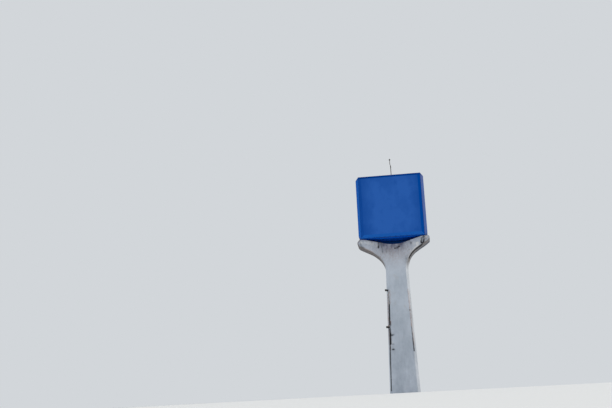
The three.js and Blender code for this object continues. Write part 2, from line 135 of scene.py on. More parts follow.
@dataclass
class Surface:
    """One material under construction, on Object coordinates in metres."""

    name: str
    material: Material = field(init=False)
    tree: bpy.types.NodeTree = field(init=False)
    place: Socket = field(init=False)

    def __post_init__(self) -> None:
        """Starts the material with its Object coordinates."""
        self.material = bpy.data.materials.new(self.name)
        self.material.use_nodes = True
        self.tree = self.material.node_tree
        self.tree.nodes.clear()
        self.place = add_node(self.tree, "ShaderNodeTexCoord").outputs["Object"]

    def cells(self, size: Triple) -> Socket:
        """Object coordinates counted in cells of a real size along X, Y and Z, in millimetres."""
        scale = [1 / (s * MM) for s in size]
        return add_node(self.tree, "ShaderNodeMapping", {"Vector": self.place, "Scale": scale}).outputs[0]

    def spread(self, value: Socket, low: float, high: float, top: float = 1.0, bottom: float = 0.0) -> Socket:
        """A value spread smoothly from bottom to top between two of its levels."""
        levels = {"Value": value, "From Min": low, "From Max": high, "To Min": bottom, "To Max": top}
        return add_node(self.tree, "ShaderNodeMapRange", levels, interpolation_type="SMOOTHSTEP").outputs[0]

    def noise(
        self,
        size: Triple,
        low: float,
        high: float,
        top: float = 1.0,
        detail: float = 3.0,
        bottom: float = 0.0,
    ) -> Socket:
        """Soft noise with a real grain, spread from bottom to top between two of its levels.

        Args:
            size: the grain along X, Y and Z, in millimetres.
            low: the noise level that becomes bottom.
            high: the noise level that becomes top.
            top: the highest value.
            detail: how many finer octaves it holds.
            bottom: the lowest value.

        Returns:
            The spread noise's socket.
        """
        inputs = {"Vector": self.cells(size), "Scale": 1.0, "Detail": detail, "Roughness": 0.6}
        texture = add_node(self.tree, "ShaderNodeTexNoise", inputs)
        return self.spread(texture.outputs["Fac"], low, high, top, bottom)

    def both(self, first: Socket, second: Socket) -> Socket:
        """The share that two shares have together: their product, kept between 0 and 1."""
        inputs = {0: first, 1: second}
        return add_node(self.tree, "ShaderNodeMath", inputs, operation="MULTIPLY", use_clamp=True).outputs[0]

    def mark(self, name: str, ragged: float, size: Triple) -> Socket:
        """A mark that a mesh holds at its points, made uneven by noise.

        Formula: the mark times a noise that runs from 1 - ragged to 1 + ragged.

        Args:
            name: the mark's name on the mesh.
            ragged: how much the noise changes it.
            size: the noise's grain along X, Y and Z, in millimetres.

        Returns:
            The mark's socket, from 0 to 1.
        """
        held = add_node(self.tree, "ShaderNodeAttribute", attribute_name=name).outputs["Fac"]
        return self.both(held, self.noise(size, 0.3, 0.7, 1 + ragged, bottom=1 - ragged))

    def along(self, axis: int, low: float, high: float) -> Socket:
        """The place along an axis, spread from 0 to 1 between two places in millimetres."""
        part = add_node(self.tree, "ShaderNodeSeparateXYZ", {0: self.place}).outputs[axis]
        return self.spread(part, low * MM, high * MM)

    def facing(self, axis: int, sign: int, low: float, high: float, top: float = 1.0) -> Socket:
        """How far the surface faces along an axis, spread from 0 to top between two levels.

        Args:
            axis: 0, 1 or 2 for X, Y or Z.
            sign: 1 for the axis itself, -1 for its opposite.
            low: the normal's part along it that becomes 0.
            high: the part that becomes top.
            top: the highest value.

        Returns:
            The value's socket.
        """
        normal = add_node(self.tree, "ShaderNodeNewGeometry").outputs["Normal"]
        part = add_node(self.tree, "ShaderNodeSeparateXYZ", {0: normal}).outputs[axis]
        return self.spread(part, sign * low, sign * high, top)

    def coats(self, base: str, *layers: tuple[Socket, str | Socket]) -> Socket:
        """Coats of colour, each mixed over what lies below it by its share.

        Args:
            base: the lowest colour, as hex.
            layers: each coat's share, from 0 to 1, and its colour, as hex or a socket.

        Returns:
            The colour's socket.
        """
        colour = linear(base)
        for share, coat in layers:
            over = linear(coat) if isinstance(coat, str) else coat
            mix = add_node(self.tree, "ShaderNodeMix", {0: share, 6: colour, 7: over}, data_type="RGBA")
            colour = mix.outputs[2]
        return colour

    def relief(self, *layers: tuple[Socket, float]) -> Socket:
        """Reliefs laid one on the other, the coarsest first.

        Args:
            layers: each relief's height, from 0 to 1, and the millimetres that 1 stands for.

        Returns:
            The normal's socket.
        """
        below = {}
        for height, depth in layers:
            inputs = {"Height": height, "Distance": depth * MM, "Strength": 1.0, **below}
            below = {"Normal": add_node(self.tree, "ShaderNodeBump", inputs).outputs["Normal"]}
        return below["Normal"]

    def finish(self, **sockets: object) -> Material:
        """Closes the material with its shader.

        Args:
            sockets: a value or a link for each of the shader's inputs, with _ for a space in its name.

        Returns:
            The material.
        """
        inputs = {name.replace("_", " "): value for name, value in sockets.items()}
        shader = add_node(self.tree, "ShaderNodeBsdfPrincipled", inputs)
        add_node(self.tree, "ShaderNodeOutputMaterial", {"Surface": shader.outputs[0]})
        return self.material


# Finishes


@dataclass(frozen=True)
class PaintedConcrete:
    """Cast concrete, wood floated and brushed with thin masonry paint.

    It is matt and pale, a little cloudy where the paint is thin, with faint rain streaks, soot where water
    hangs, rust where iron is near, and on what faces down a film of brown algae that is also painted shade.
    """

    thin: str = "#A9B1BA"
    full: str = "#BEC5CE"
    bare: str = "#ABA9A5"
    streak: str = "#8B9199"
    algae_and_shade: str = "#66594F"
    # The colour that the underside takes towards its back.
    back_darkening: str = "#142640"
    # A bluish grey: the shaft's darkening towards its foot, and on the head soot with the tank's painted
    # shadow.
    film: str = "#4B5268"
    soot: str = "#17181D"
    rust: str = "#8B6047"
    lime_and_highlight: str = "#DCDDDC"
    roughness: float = 0.9

    def material(self) -> Material:
        """Builds the material from its coats, the lowest first.

        Returns:
            The finished material.
        """
        s = Surface("floated_painted_concrete")
        # Under the head's arms what faces down is painted dark: algae and painted shade in one.
        hanging_algae_and_shade = s.both(s.facing(2, -1, 0.0, 0.4, 0.85), s.mark("algae_and_shade_share", 0.2, (90, 90, 90)))
        algae_and_shade_colour = s.coats(self.algae_and_shade, (s.mark("back_darkening", 0.4, (120, 120, 120)), self.back_darkening))
        colour = s.coats(
            self.thin,
            (s.noise((520, 520, 900), 0.3, 0.7), self.full),
            (s.noise((160, 160, 260), 0.58, 0.78, 0.35), self.bare),
            (s.noise((34, 34, 1100), 0.52, 0.8, 0.25), self.streak),
            (s.noise((45, 45, 80), 0.66, 0.76, 0.25), self.lime_and_highlight),
            (s.noise((9, 9, 9), 0.6, 0.74, 0.3, 2.0), self.streak),
            (hanging_algae_and_shade, algae_and_shade_colour),
            (s.mark("film", 0.35, (90, 90, 160)), self.film),
            # Pale paint and lime, and painted highlights where an edge catches the light.
            (s.mark("pale", 0.5, (45, 45, 70)), self.lime_and_highlight),
            (s.mark("rust", 0.8, (26, 26, 60)), self.rust),
            (s.mark("soot", 0.35, (30, 30, 70)), self.soot),
        )
        # The float's swirls are about 70 mm wide; the sand grain is 2 mm, drawn as 7 mm so that it shows.
        swirls = (s.noise((70, 70, 70), 0.25, 0.75), 2.2)
        grain = (s.noise((7, 7, 7), 0.3, 0.7, detail=2.0), 0.8)
        normal = s.relief(swirls, grain)
        return s.finish(Base_Color=colour, Roughness=self.roughness, Specular_IOR_Level=0.3, Normal=normal)


@dataclass(frozen=True)
class Enamel:
    """Sheet steel, sprayed with a gloss enamel that the sun has chalked.

    The chalk is a pale haze over the blue, thickest in the middle of a sheet, and rain has drawn it down in
    faint streaks. The folds keep the deep colour. What faces down takes its own colour: painted light, a
    brighter blue, on a panel's lower bevel, and painted shade, a darker blue, on the frame. Grime lies under
    the roof's edge, and under the tank a painted shade darkens a sheet from its front to its back.
    """

    name: str
    deep: str
    chalked: str
    dust: str
    roughness: float = 0.42
    specular: float = 0.05
    grime: str = "#081C3C"
    # The colour given to what faces down: painted light where it is brighter than the blue, painted shade
    # where it is darker.
    down_face_painted_shading: str = ""
    # The colour that a sheet takes towards its back: painted shade.
    behind: str = ""
    reach: Pair = (40.0, 240.0)

    def material(self) -> Material:
        """Builds the material: the blue, its chalk, streaks and dust.

        Returns:
            The finished material.
        """
        s = Surface(self.name)
        layers = [
            # The chalk; on the bevels its values also paint light and shade.
            (s.mark("chalk", 0.18, (420, 420, 620)), self.chalked),
            (s.noise((55, 55, 1500), 0.5, 0.8, 0.08), self.dust),
            (s.noise((300, 300, 300), 0.55, 0.8, 0.25), self.deep),
            (s.facing(2, 1, 0.8, 0.98, 0.45), self.dust),
        ]
        if self.down_face_painted_shading:
            # Painted light and shade on what faces down.
            layers.append((s.facing(2, -1, 0.3, 0.68, 0.8), self.down_face_painted_shading))
        layers.append((s.noise((12, 12, 16), 0.7, 0.76, 0.25, 2.0), self.dust))
        layers.append((s.mark("grime", 0.4, (200, 200, 60)), self.grime))
        # Painted shade: the sheet darkens from its front to its back.
        if self.behind:
            layers.append((s.along(1, *self.reach), self.behind))
        colour = s.coats(self.deep, *layers)
        dullness = s.noise((130, 130, 420), 0.3, 0.7)
        roughness = s.spread(dullness, 0.0, 1.0, self.roughness + 0.2, self.roughness)
        # Sprayed enamel has an orange peel of about 2 mm, drawn as 9 mm so that it shows.
        peel = s.relief((s.noise((9, 9, 9), 0.3, 0.7, detail=1.0), 0.12))
        return s.finish(Base_Color=colour, Roughness=roughness, Specular_IOR_Level=self.specular, Normal=peel)


@dataclass(frozen=True)
class GalvanisedSteel:
    """Steel dipped in zinc: dull grey metal with a spangle of crystals and white rust in the hollows."""

    name: str = "galvanised_steel"
    light: str = "#9BA1A6"
    dark: str = "#737A80"
    white_rust: str = "#B9BCBB"
    rust: str = "#6B4A38"
    roughness: float = 0.46

    def material(self) -> Material:
        """Builds the material: spangle, white rust and a little red rust.

        Returns:
            The finished material.
        """
        s = Surface(self.name)
        # The crystals are 8 to 15 mm across.
        crystal = add_node(s.tree, "ShaderNodeTexVoronoi", {"Vector": s.cells((12, 12, 12)), "Scale": 1.0})
        shade = add_node(s.tree, "ShaderNodeSeparateColor", {0: crystal.outputs["Color"]}).outputs[0]
        colour = s.coats(
            self.dark,
            (shade, self.light),
            (s.noise((40, 40, 70), 0.5, 0.72, 0.7), self.white_rust),
            (s.noise((22, 22, 45), 0.66, 0.74, 0.7), self.rust),
        )
        roughness = s.spread(shade, 0.0, 1.0, self.roughness + 0.14, self.roughness)
        grain = s.relief((s.noise((5, 5, 5), 0.3, 0.7, detail=1.0), 0.15))
        return s.finish(Base_Color=colour, Metallic=0.9, Roughness=roughness, Normal=grain)


@dataclass(frozen=True)
class Oxidised:
    """Iron or copper left bare or thinly painted: a dull black skin with brown rust coming through.

    The share of rust sets the difference between a strip, a bracket and its clip. Over a height the skin may
    have bleached to a grey that is near the concrete's.
    """

    name: str
    skin: str
    rust: str
    rust_share: float
    bleached: str = ""
    bleach: Pair = (2960.0, 3120.0)
    worn: str = "#3A3935"
    roughness: float = 0.6

    def material(self) -> Material:
        """Builds the material: a mottled skin, bleached at its top, and ragged patches of rust.

        Returns:
            The finished material.
        """
        s = Surface(self.name)
        level = 0.72 - 0.3 * self.rust_share
        patches = s.noise((38, 38, 75), level, level + 0.1)
        layers = [(s.noise((15, 15, 30), 0.35, 0.7, 0.6), self.worn)]
        if self.bleached:
            layers.append((s.along(2, *self.bleach), self.bleached))
        colour = s.coats(self.skin, *layers, (patches, self.rust))
        roughness = s.spread(patches, 0.0, 1.0, self.roughness + 0.3, self.roughness)
        scale = s.relief((s.noise((8, 8, 8), 0.3, 0.7), 0.6))
        return s.finish(Base_Color=colour, Roughness=roughness, Normal=scale)


@dataclass(frozen=True)
class Porcelain:
    """Insulator porcelain under a dark brown glaze that soot and weather have dulled, dusty on top."""

    glaze: str = "#0D0A09"
    dust: str = "#4A4740"
    roughness: float = 0.38

    def material(self) -> Material:
        """Builds the material: the glaze and the dust that lies on it.

        Returns:
            The finished material.
        """
        s = Surface("glazed_porcelain")
        lying = s.both(s.facing(2, 1, 0.5, 0.95), s.noise((9, 9, 9), 0.35, 0.65, 0.6))
        colour = s.coats(self.glaze, (lying, self.dust))
        roughness = s.spread(lying, 0.0, 1.0, self.roughness + 0.4, self.roughness)
        flow = s.relief((s.noise((16, 16, 16), 0.3, 0.7), 0.2))
        return s.finish(Base_Color=colour, Roughness=roughness, Specular_IOR_Level=0.3, Normal=flow)


@dataclass(frozen=True)
class Rubber:
    """Black rubber sheet, greyed by ozone and with fine cracks."""

    black: str = "#17181A"
    bloom: str = "#3F4144"
    roughness: float = 0.82

    def material(self) -> Material:
        """Builds the material: grey bloom over black, and cracks.

        Returns:
            The finished material.
        """
        s = Surface("rubber_sheet")
        colour = s.coats(self.black, (s.noise((30, 30, 20), 0.4, 0.7, 0.8), self.bloom))
        cracks = s.relief((s.noise((6, 6, 3), 0.45, 0.55), 0.4))
        return s.finish(Base_Color=colour, Roughness=self.roughness, Normal=cracks)


# What faces down on the panels, chiefly the lower bevels, is painted a brighter blue: painted light from
# below.
FRONT_BLUE = Enamel(
    "chalked_blue_enamel",
    deep="#003F8F",
    chalked="#2E62B2",
    dust="#346CB6",
    down_face_painted_shading="#1E64BE",
    specular=0.0,
)
SIDE_BLUE = Enamel("faded_blue_enamel", deep="#1A5CB0", chalked="#4B5E93", dust="#7F8FB8", roughness=0.55)
# What faces down on the frame's rails is painted a darker blue: painted shade.
FRAME_BLUE = Enamel(
    "frame_blue_enamel", deep="#00408F", chalked="#16509C", dust="#47669A", down_face_painted_shading="#05285C"
)
ROOF_BLUE = Enamel("dusty_roof_enamel", deep="#0C4791", chalked="#4E74AE", dust="#8C9CB5", roughness=0.5)
# The tank's floor: bright blue at its front, painted light that reaches in from the front, and dark navy
# towards its back, painted shade.
UNDER_NAVY = Enamel(
    "shaded_navy_enamel",
    deep="#0C60D8",
    chalked="#1066DC",
    dust="#166EE0",
    behind="#042A5E",
    roughness=0.9,
    specular=0.0,
)
STRIP_BLACK = Oxidised("oxidised_conductor", skin="#0B0A0A", rust="#4A3028", rust_share=0.3)
STRIP_WORN = Oxidised(
    "bleached_conductor", skin="#0B0C08", rust="#8A6248", rust_share=0.15, bleached="#8E8882"
)
ROD_STEEL = GalvanisedSteel(
    "sooted_galvanised_steel", light="#4E4A47", dark="#2C2826", white_rust="#6B655F"
)
IRON_BLACK = Oxidised("black_painted_iron", skin="#0C0D0F", rust="#4A2C1E", rust_share=0.15)


# Shapes


def unit(vectors: Array) -> Array:
    """Vectors, along the last axis, scaled to a length of 1."""
    return vectors / np.maximum(np.linalg.norm(vectors, axis=-1, keepdims=True), TINY)


def quadratic(t: Array, start: Array, knee: Array, end: Array) -> Array:
    """Points of the quadratic curve from start to end, with the knee as its middle point, at shares t."""
    return (1 - t) ** 2 * start + 2 * t * (1 - t) * knee + t**2 * end


def waves(points: Array, length: float, seed: int) -> Array:
    """A smooth random field.

    Formula: the mean of some sine waves, doubled. Each has a random direction, a random phase and a length
    near the given one.

    Args:
        points: (n, 3) places in millimetres.
        length: the middle wave length in millimetres.
        seed: the draw's seed.

    Returns:
        (n,) values, nearly all between -1 and 1.
    """
    draw = np.random.default_rng(seed)
    ways = unit(draw.normal(size=(WAVE_COUNT, 3)))
    lengths = length * draw.uniform(*WAVE_SPAN, WAVE_COUNT)
    phases = draw.uniform(0, 2 * np.pi, WAVE_COUNT)
    return 2 * np.sin(points @ (ways.T * (2 * np.pi / lengths)) + phases).mean(axis=1)


def rounded(corners: Array, radius: float | Array, steps: list[int], turns: int = 4) -> Array:
    """Closed loops through the corners of polygons, with each corner rounded.

    Formula: a loop leaves each edge at the radius from its corner, or at a set share of a short edge, follows
    the quadratic curve whose middle point is the corner, and takes the straight rest of the next edge in
    equal steps.

    Args:
        corners: (n, k, 3) corners of n polygons.
        radius: how far from a corner the rounding starts, one for all or (n, k) of them.
        steps: the number of steps on each of the k edges, the first from corner 0 to corner 1.
        turns: the number of steps round each corner.

    Returns:
        (n, m, 3) points of n loops.
    """
    after = np.roll(corners, -1, axis=1)
    edges = after - corners
    longest = SHORT_EDGE_SHARE * np.linalg.norm(edges, axis=2, keepdims=True)
    ways = unit(edges)
    radii = np.broadcast_to(radius, corners.shape[:2])[..., None]
    leaves = corners + ways * np.minimum(radii, longest)
    arrives = after - ways * np.minimum(np.roll(radii, -1, axis=1), longest)
    t = np.linspace(0, 1, turns + 1)[None, :, None]
    parts = []
    for i, count in enumerate(steps):
        parts.append(quadratic(t, arrives[:, i - 1, None], corners[:, i, None], leaves[:, i, None]))
        s = np.linspace(0, 1, count + 1)[1:-1][None, :, None]
        parts.append((1 - s) * leaves[:, i, None] + s * arrives[:, i, None])
    return np.concatenate(parts, axis=1)


def open_line(knees: Array, radius: float, steps: list[int], turns: int) -> Array:
    """An open line with each knee rounded but the first and the last, which are its ends.

    Args:
        knees: (k, 3) places.
        radius: how far from a knee the rounding starts.
        steps: the number of steps on each of the k - 1 stretches.
        turns: the number of steps round each knee.

    Returns:
        (n, 3) points.
    """
    loop = rounded(knees[None], radius, [*steps, 1], turns)[0]
    return np.concatenate([knees[:1], loop[turns + 1 : -turns - 1], knees[-1:]])


def grid_faces(rows: int, columns: int) -> tuple[Array, Array, Array]:
    """The faces of a grid of rings, each closed on itself.

    Formula: a face joins the points (i, j), (i, j + 1), (i + 1, j + 1) and (i + 1, j).

    Args:
        rows: the number of rings.
        columns: the number of points in a ring.

    Returns:
        (rows, columns) numbers of the points, the numbers of the points after them, and (n, 4) faces.
    """
    index = np.arange(rows * columns).reshape(rows, columns)
    after = np.roll(index, -1, axis=1)
    quads = np.stack([index[:-1], after[:-1], after[1:], index[1:]], axis=-1).reshape(-1, 4)
    return index, after, quads


def make_mesh(name: str, points: Array, groups: list[Array]) -> bpy.types.Mesh:
    """Makes a mesh.

    Args:
        name: its name.
        points: (n, 3) places in millimetres.
        groups: arrays of faces, each for one number of corners.

    Returns:
        The mesh.
    """
    mesh = bpy.data.meshes.new(name)
    mesh.from_pydata((points * MM).tolist(), [], sum([group.tolist() for group in groups], []))
    return mesh


def add_object(name: str, data: bpy.types.ID) -> Piece:
    """Makes an object and puts it in the scene.

    Args:
        name: its name.
        data: the mesh, lamp or camera that it holds.

    Returns:
        The object.
    """
    made = bpy.data.objects.new(name, data)
    bpy.context.scene.collection.objects.link(made)
    return made


def settle(name: str, mesh: bpy.types.Mesh, material: Material) -> Piece:
    """Makes a piece of a mesh, smooth but for its sharp edges, and lets it ride on the tower's body.

    Args:
        name: the piece's name.
        mesh: its mesh.
        material: its material.

    Returns:
        The piece.
    """
    mesh.shade_smooth()
    mesh.set_sharp_from_angle(angle=SHARP_ANGLE)
    mesh.materials.append(material)
    piece = add_object(name, mesh)
    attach(piece, BODY)
    LOG.info("%s: %d faces", name, len(mesh.polygons))
    return piece


def skin(name: str, rings: Array, ends: Ends, material: Material) -> Piece:
    """Makes a piece of a grid of rings, each closed on itself.

    Formula: the whole grid is turned round if the volume under it, counted from the middle of the first ring,
    is negative.

    Args:
        name: the piece's name.
        rings: (rows, columns, 3) places in millimetres.
        ends: how the first and the last ring are finished.
        material: the piece's material.

    Returns:
        The piece, riding on the tower's body.
    """
    rows, columns = rings.shape[:2]
    index, after, quads = grid_faces(rows, columns)
    points = rings.reshape(-1, 3)
    middles, fans = [], []
    if ends is Ends.CAPPED:
        middles.append(rings[0].mean(axis=0))
        fans.append(np.stack([index[0], np.full(columns, len(points)), after[0]], axis=-1))
    if ends in (Ends.CAPPED, Ends.DOMED):
        fans.append(np.stack([index[-1], after[-1], np.full(columns, len(points) + len(middles))], axis=-1))
        middles.append(rings[-1].mean(axis=0))
    points = np.concatenate([points, *[m[None] for m in middles]])
    triangles = np.concatenate([quads[:, [0, 1, 2]], quads[:, [0, 2, 3]], *fans])
    a, b, c = (points[triangles[:, k]] - rings[0].mean(axis=0) for k in range(3))
    turn = -1 if np.einsum("ij,ij->i", a, np.cross(b, c)).sum() < 0 else 1
    mesh = make_mesh(name, points, [group[:, ::turn] for group in (quads, *fans)])
    if ends is Ends.TIPPED:
        work = bmesh.new()
        work.from_mesh(mesh)
        bmesh.ops.remove_doubles(work, verts=work.verts, dist=MERGE_DISTANCE * MM)
        work.to_mesh(mesh)
        work.free()
    return settle(name, mesh, material)


def copies(name: str, pattern: Array, centres: Array, outward: Array, material: Material) -> Piece:
    """One mesh of many like turned pieces, such as screw heads.

    Formula: each point of the pattern, a grid of rings round its own Z axis, is turned so that this axis lies
    along the outward direction, and moved to its centre. The first and the last ring close on their middles.

    Args:
        name: the piece's name.
        pattern: (rows, columns, 3) points of one copy, its foot first, in millimetres.
        centres: (n, 3) places of the copies' feet.
        outward: (n, 3) directions that they stand along.
        material: the piece's material.

    Returns:
        The piece.
    """
    rows, columns = pattern.shape[:2]
    ends = [pattern[i].mean(axis=0)[None] for i in (0, -1)]
    points = np.concatenate([pattern.reshape(-1, 3), *ends])
    index, after, quads = grid_faces(rows, columns)
    foot = np.stack([after[0], index[0], np.full(columns, rows * columns)], axis=-1)
    crown = np.stack([index[-1], after[-1], np.full(columns, rows * columns + 1)], axis=-1)
    up = unit(outward)
    guide = np.where(np.abs(up[:, [2]]) > NEARLY_UPRIGHT, X, Z)
    side = unit(np.cross(guide, up))
    turned = np.stack([side, np.cross(up, side), up], axis=1)
    placed = np.einsum("pk,nkc->npc", points, turned) + centres[:, None]
    shift = (np.arange(len(centres)) * len(points))[:, None, None]
    groups = [(group[None] + shift).reshape(-1, group.shape[1]) for group in (quads, foot, crown)]
    return settle(name, make_mesh(name, placed.reshape(-1, 3), groups), material)


def turned_rings(profile: Array, sides: int) -> Array:
    """Rings round the Z axis.

    Formula: a profile point of radius r and height h gives the ring (r cos a, r sin a, h), a in equal steps.

    Args:
        profile: (rows, 2) radii and heights.
        sides: the number of points in a ring.

    Returns:
        (rows, sides, 3) points.
    """
    angle = np.linspace(0, 2 * np.pi, sides, endpoint=False)
    radius, height = profile[:, :1], profile[:, 1:]
    return np.stack([radius * np.cos(angle), radius * np.sin(angle), height + 0 * angle], axis=-1)


def softened(profile: list[Pair], radius: float) -> Array:
    """An open profile of (rows, 2) radii and heights, foot first, with its inner corners rounded."""
    corners = np.array([(*corner, 0.0) for corner in profile])
    return open_line(corners, radius, [1] * (len(profile) - 1), 3)[:, :2]


def bent_bar(path: Array, across: Array, radius: float, sides: int) -> Array:
    """Rings of a round bar along a flat path.

    Formula: at each path point the ring is p + radius (cos a n + sin a b), with n the fixed direction across
    the path's plane, and b the path's own direction crossed with n.

    Args:
        path: (rows, 3) middle line.
        across: the direction square to the path's plane.
        radius: the bar's radius.
        sides: the number of points in a ring.

    Returns:
        (rows, sides, 3) points.
    """
    beside = np.cross(unit(np.gradient(path, axis=0)), across)
    angle = np.linspace(0, 2 * np.pi, sides, endpoint=False)[None, :, None]
    return path[:, None] + radius * (np.cos(angle) * across + np.sin(angle) * beside[:, None])


def plate(low: Array, high: Array, radius: float) -> Array:
    """Rings of a flat plate with rounded upright edges and softened rims.

    Args:
        low: its lowest corner.
        high: its highest corner.
        radius: the radius of its upright edges, and of its rims where it is thick enough.

    Returns:
        (4, n, 3) points, from its lower face to its upper one.
    """
    rim = min(radius, (high[2] - low[2]) / 3)
    levels = np.array([low[2], low[2] + rim, high[2] - rim, high[2]])
    inset = np.array([rim, 0.0, 0.0, rim])
    x0, x1, y0, y1 = low[0] + inset, high[0] - inset, low[1] + inset, high[1] - inset
    places = ([x0, x1, x1, x0], [y0, y0, y1, y1], [levels] * 4)
    return rounded(np.stack([np.stack(place, axis=1) for place in places], axis=-1), radius, [2] * 4)


def box_mm(node: str) -> tuple[Array, Array]:
    """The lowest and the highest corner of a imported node, in millimetres."""
    low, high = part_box(node)
    return np.array(low) / MM, np.array(high) / MM


def points_mm(mesh: bpy.types.Mesh) -> Array:
    """Reads a mesh's points.

    Args:
        mesh: the mesh.

    Returns:
        (n, 3) places in millimetres.
    """
    points = np.empty(len(mesh.vertices) * 3)
    mesh.vertices.foreach_get("co", points)
    return points.reshape(-1, 3) / MM


def hold(mesh: bpy.types.Mesh, name: str, values: Array) -> None:
    """Writes a value for each point to the mesh, under the name that its material reads."""
    held = mesh.attributes.new(name, "FLOAT", "POINT")
    held.data.foreach_set("value", values.astype(np.float32))


def give_wall(piece: Piece, sheet: float) -> None:
    """Gives an open sheet its thickness, inwards from the side that shows.

    Args:
        piece: the sheet.
        sheet: its thickness in millimetres.
    """
    wall = piece.modifiers.new("sheet", "SOLIDIFY")
    wall.thickness = sheet * MM
    wall.offset = -1


def dress(node: str, material: Material) -> None:
    """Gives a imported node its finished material.

    Args:
        node: the node's name.
        material: its material.
    """
    piece = frame["nodes"][node]
    piece.data.materials.clear()
    piece.data.materials.append(material)
    LOG.info("%s: dressed", node)


# Concrete


CORNER_OUT = np.array([-1.0, -1.0, 0.0]) / math.sqrt(2)
CORNER_ALONG = np.array([1.0, -1.0, 0.0]) / math.sqrt(2)
CHIP_LENGTHS = (300.0, 90.0)
CHIP_LEVEL = 0.5
FINE_SHARE = 0.6
CORNER_LOSS = 0.6
JOINT_REACH = 80.0


@dataclass(frozen=True)
class Shaft:
    """The pylon's taper: an oblong with four cut corners, from the foot to the neck."""

    foot_width: float = 1028.0
    foot_depth: float = 992.0
    neck_width: float = 784.0
    neck_depth: float = 748.0
    neck_z: float = 4300.0
    chamfer: float = 85.0

    def half(self, z: Array) -> tuple[Array, Array]:
        """Half the section's width and half its depth.

        Args:
            z: (n,) heights.

        Returns:
            Both as (n,).
        """
        share = z / self.neck_z
        width = self.foot_width + (self.neck_width - self.foot_width) * share
        depth = self.foot_depth + (self.neck_depth - self.foot_depth) * share
        return width / 2, depth / 2

    def corners(self, z: Array) -> Array:
        """The eight corners of the section.

        Args:
            z: (n,) heights.

        Returns:
            (n, 8, 3) points, from the right front one to the side and round the back.
        """
        x, y = self.half(z)
        c = self.chamfer
        across = [x, x, x - c, c - x, -x, -x, c - x, x - c]
        deep = [c - y, y - c, y, y, y - c, c - y, -y, -y]
        return np.stack([np.stack(across, 1), np.stack(deep, 1), np.stack([z] * 8, 1)], axis=-1)

    def corner_place(self, z: Array, place: float, out: float, aside: float) -> Array:
        """Points on the left front chamfer.

        Args:
            z: (n,) heights.
            place: 0 at the side face and 1 at the front face.
            out: the distance out of the chamfer.
            aside: the distance along it, towards the front face.

        Returns:
            (n, 3) points.
        """
        x, y = self.half(z)
        on = np.stack([place * self.chamfer - x, (1 - place) * self.chamfer - y, z], axis=1)
        return on + out * CORNER_OUT + aside * CORNER_ALONG


SHAFT = Shaft()


@dataclass(frozen=True)
class Smear:
    """A soft mark on the front or the back: an ellipse with a feathered edge that leans as it runs down.

    Formula: strength times exp of minus the sum of the squares of both distances over both half sizes.
    """

    x: float
    z: float
    half_width: float
    half_height: float
    strength: float
    lean: float = 0.0

    def on(self, points: Array) -> Array:
        """The mark's value at each point.

        Args:
            points: (n, 3) places.

        Returns:
            (n,) values.
        """
        down = points[:, 2] - self.z
        aside = points[:, 0] - self.x - self.lean * down
        return self.strength * np.exp(-((aside / self.half_width) ** 2) - (down / self.half_height) ** 2)


@dataclass(frozen=True)
class Trail:
    """A soft line on the front or the back, such as a drip, a crack or the stain along an edge.

    Formula: strength times exp of minus the square of the distance to the line over the half width. The half
    width and the strength both run evenly from the line's first point to its last.
    """

    path: tuple[Pair, ...]
    half_widths: Pair
    strengths: Pair

    def on(self, points: Array) -> Array:
        """The mark's value at each point. Where two stretches of the line are near, the stronger one counts.

        Args:
            points: (n, 3) places.

        Returns:
            (n,) values.
        """
        knots = np.array(self.path, float)
        place = points[:, [0, 2]]
        run = np.concatenate([[0.0], np.linalg.norm(np.diff(knots, axis=0), axis=1).cumsum()])
        value = np.zeros(len(points))
        for start, end, before, after in zip(knots, knots[1:], run, run[1:]):
            way = end - start
            share = np.clip((place - start) @ way / (way @ way), 0, 1)
            off = np.linalg.norm(place - start - share[:, None] * way, axis=1)
            along = (before + share * (after - before)) / run[-1]
            half = np.interp(along, [0, 1], self.half_widths)
            strength = np.interp(along, [0, 1], self.strengths)
            value = np.maximum(value, strength * np.exp(-((off / half) ** 2)))
        return value


@dataclass(frozen=True)
class Marks:
    """The marks on one face, front or back: soot, rust, pale patches of paint or lime, painted shade and
    highlights.
    """

    soot: tuple[Smear | Trail, ...] = ()
    rust: tuple[Smear | Trail, ...] = ()
    pale: tuple[Smear | Trail, ...] = ()


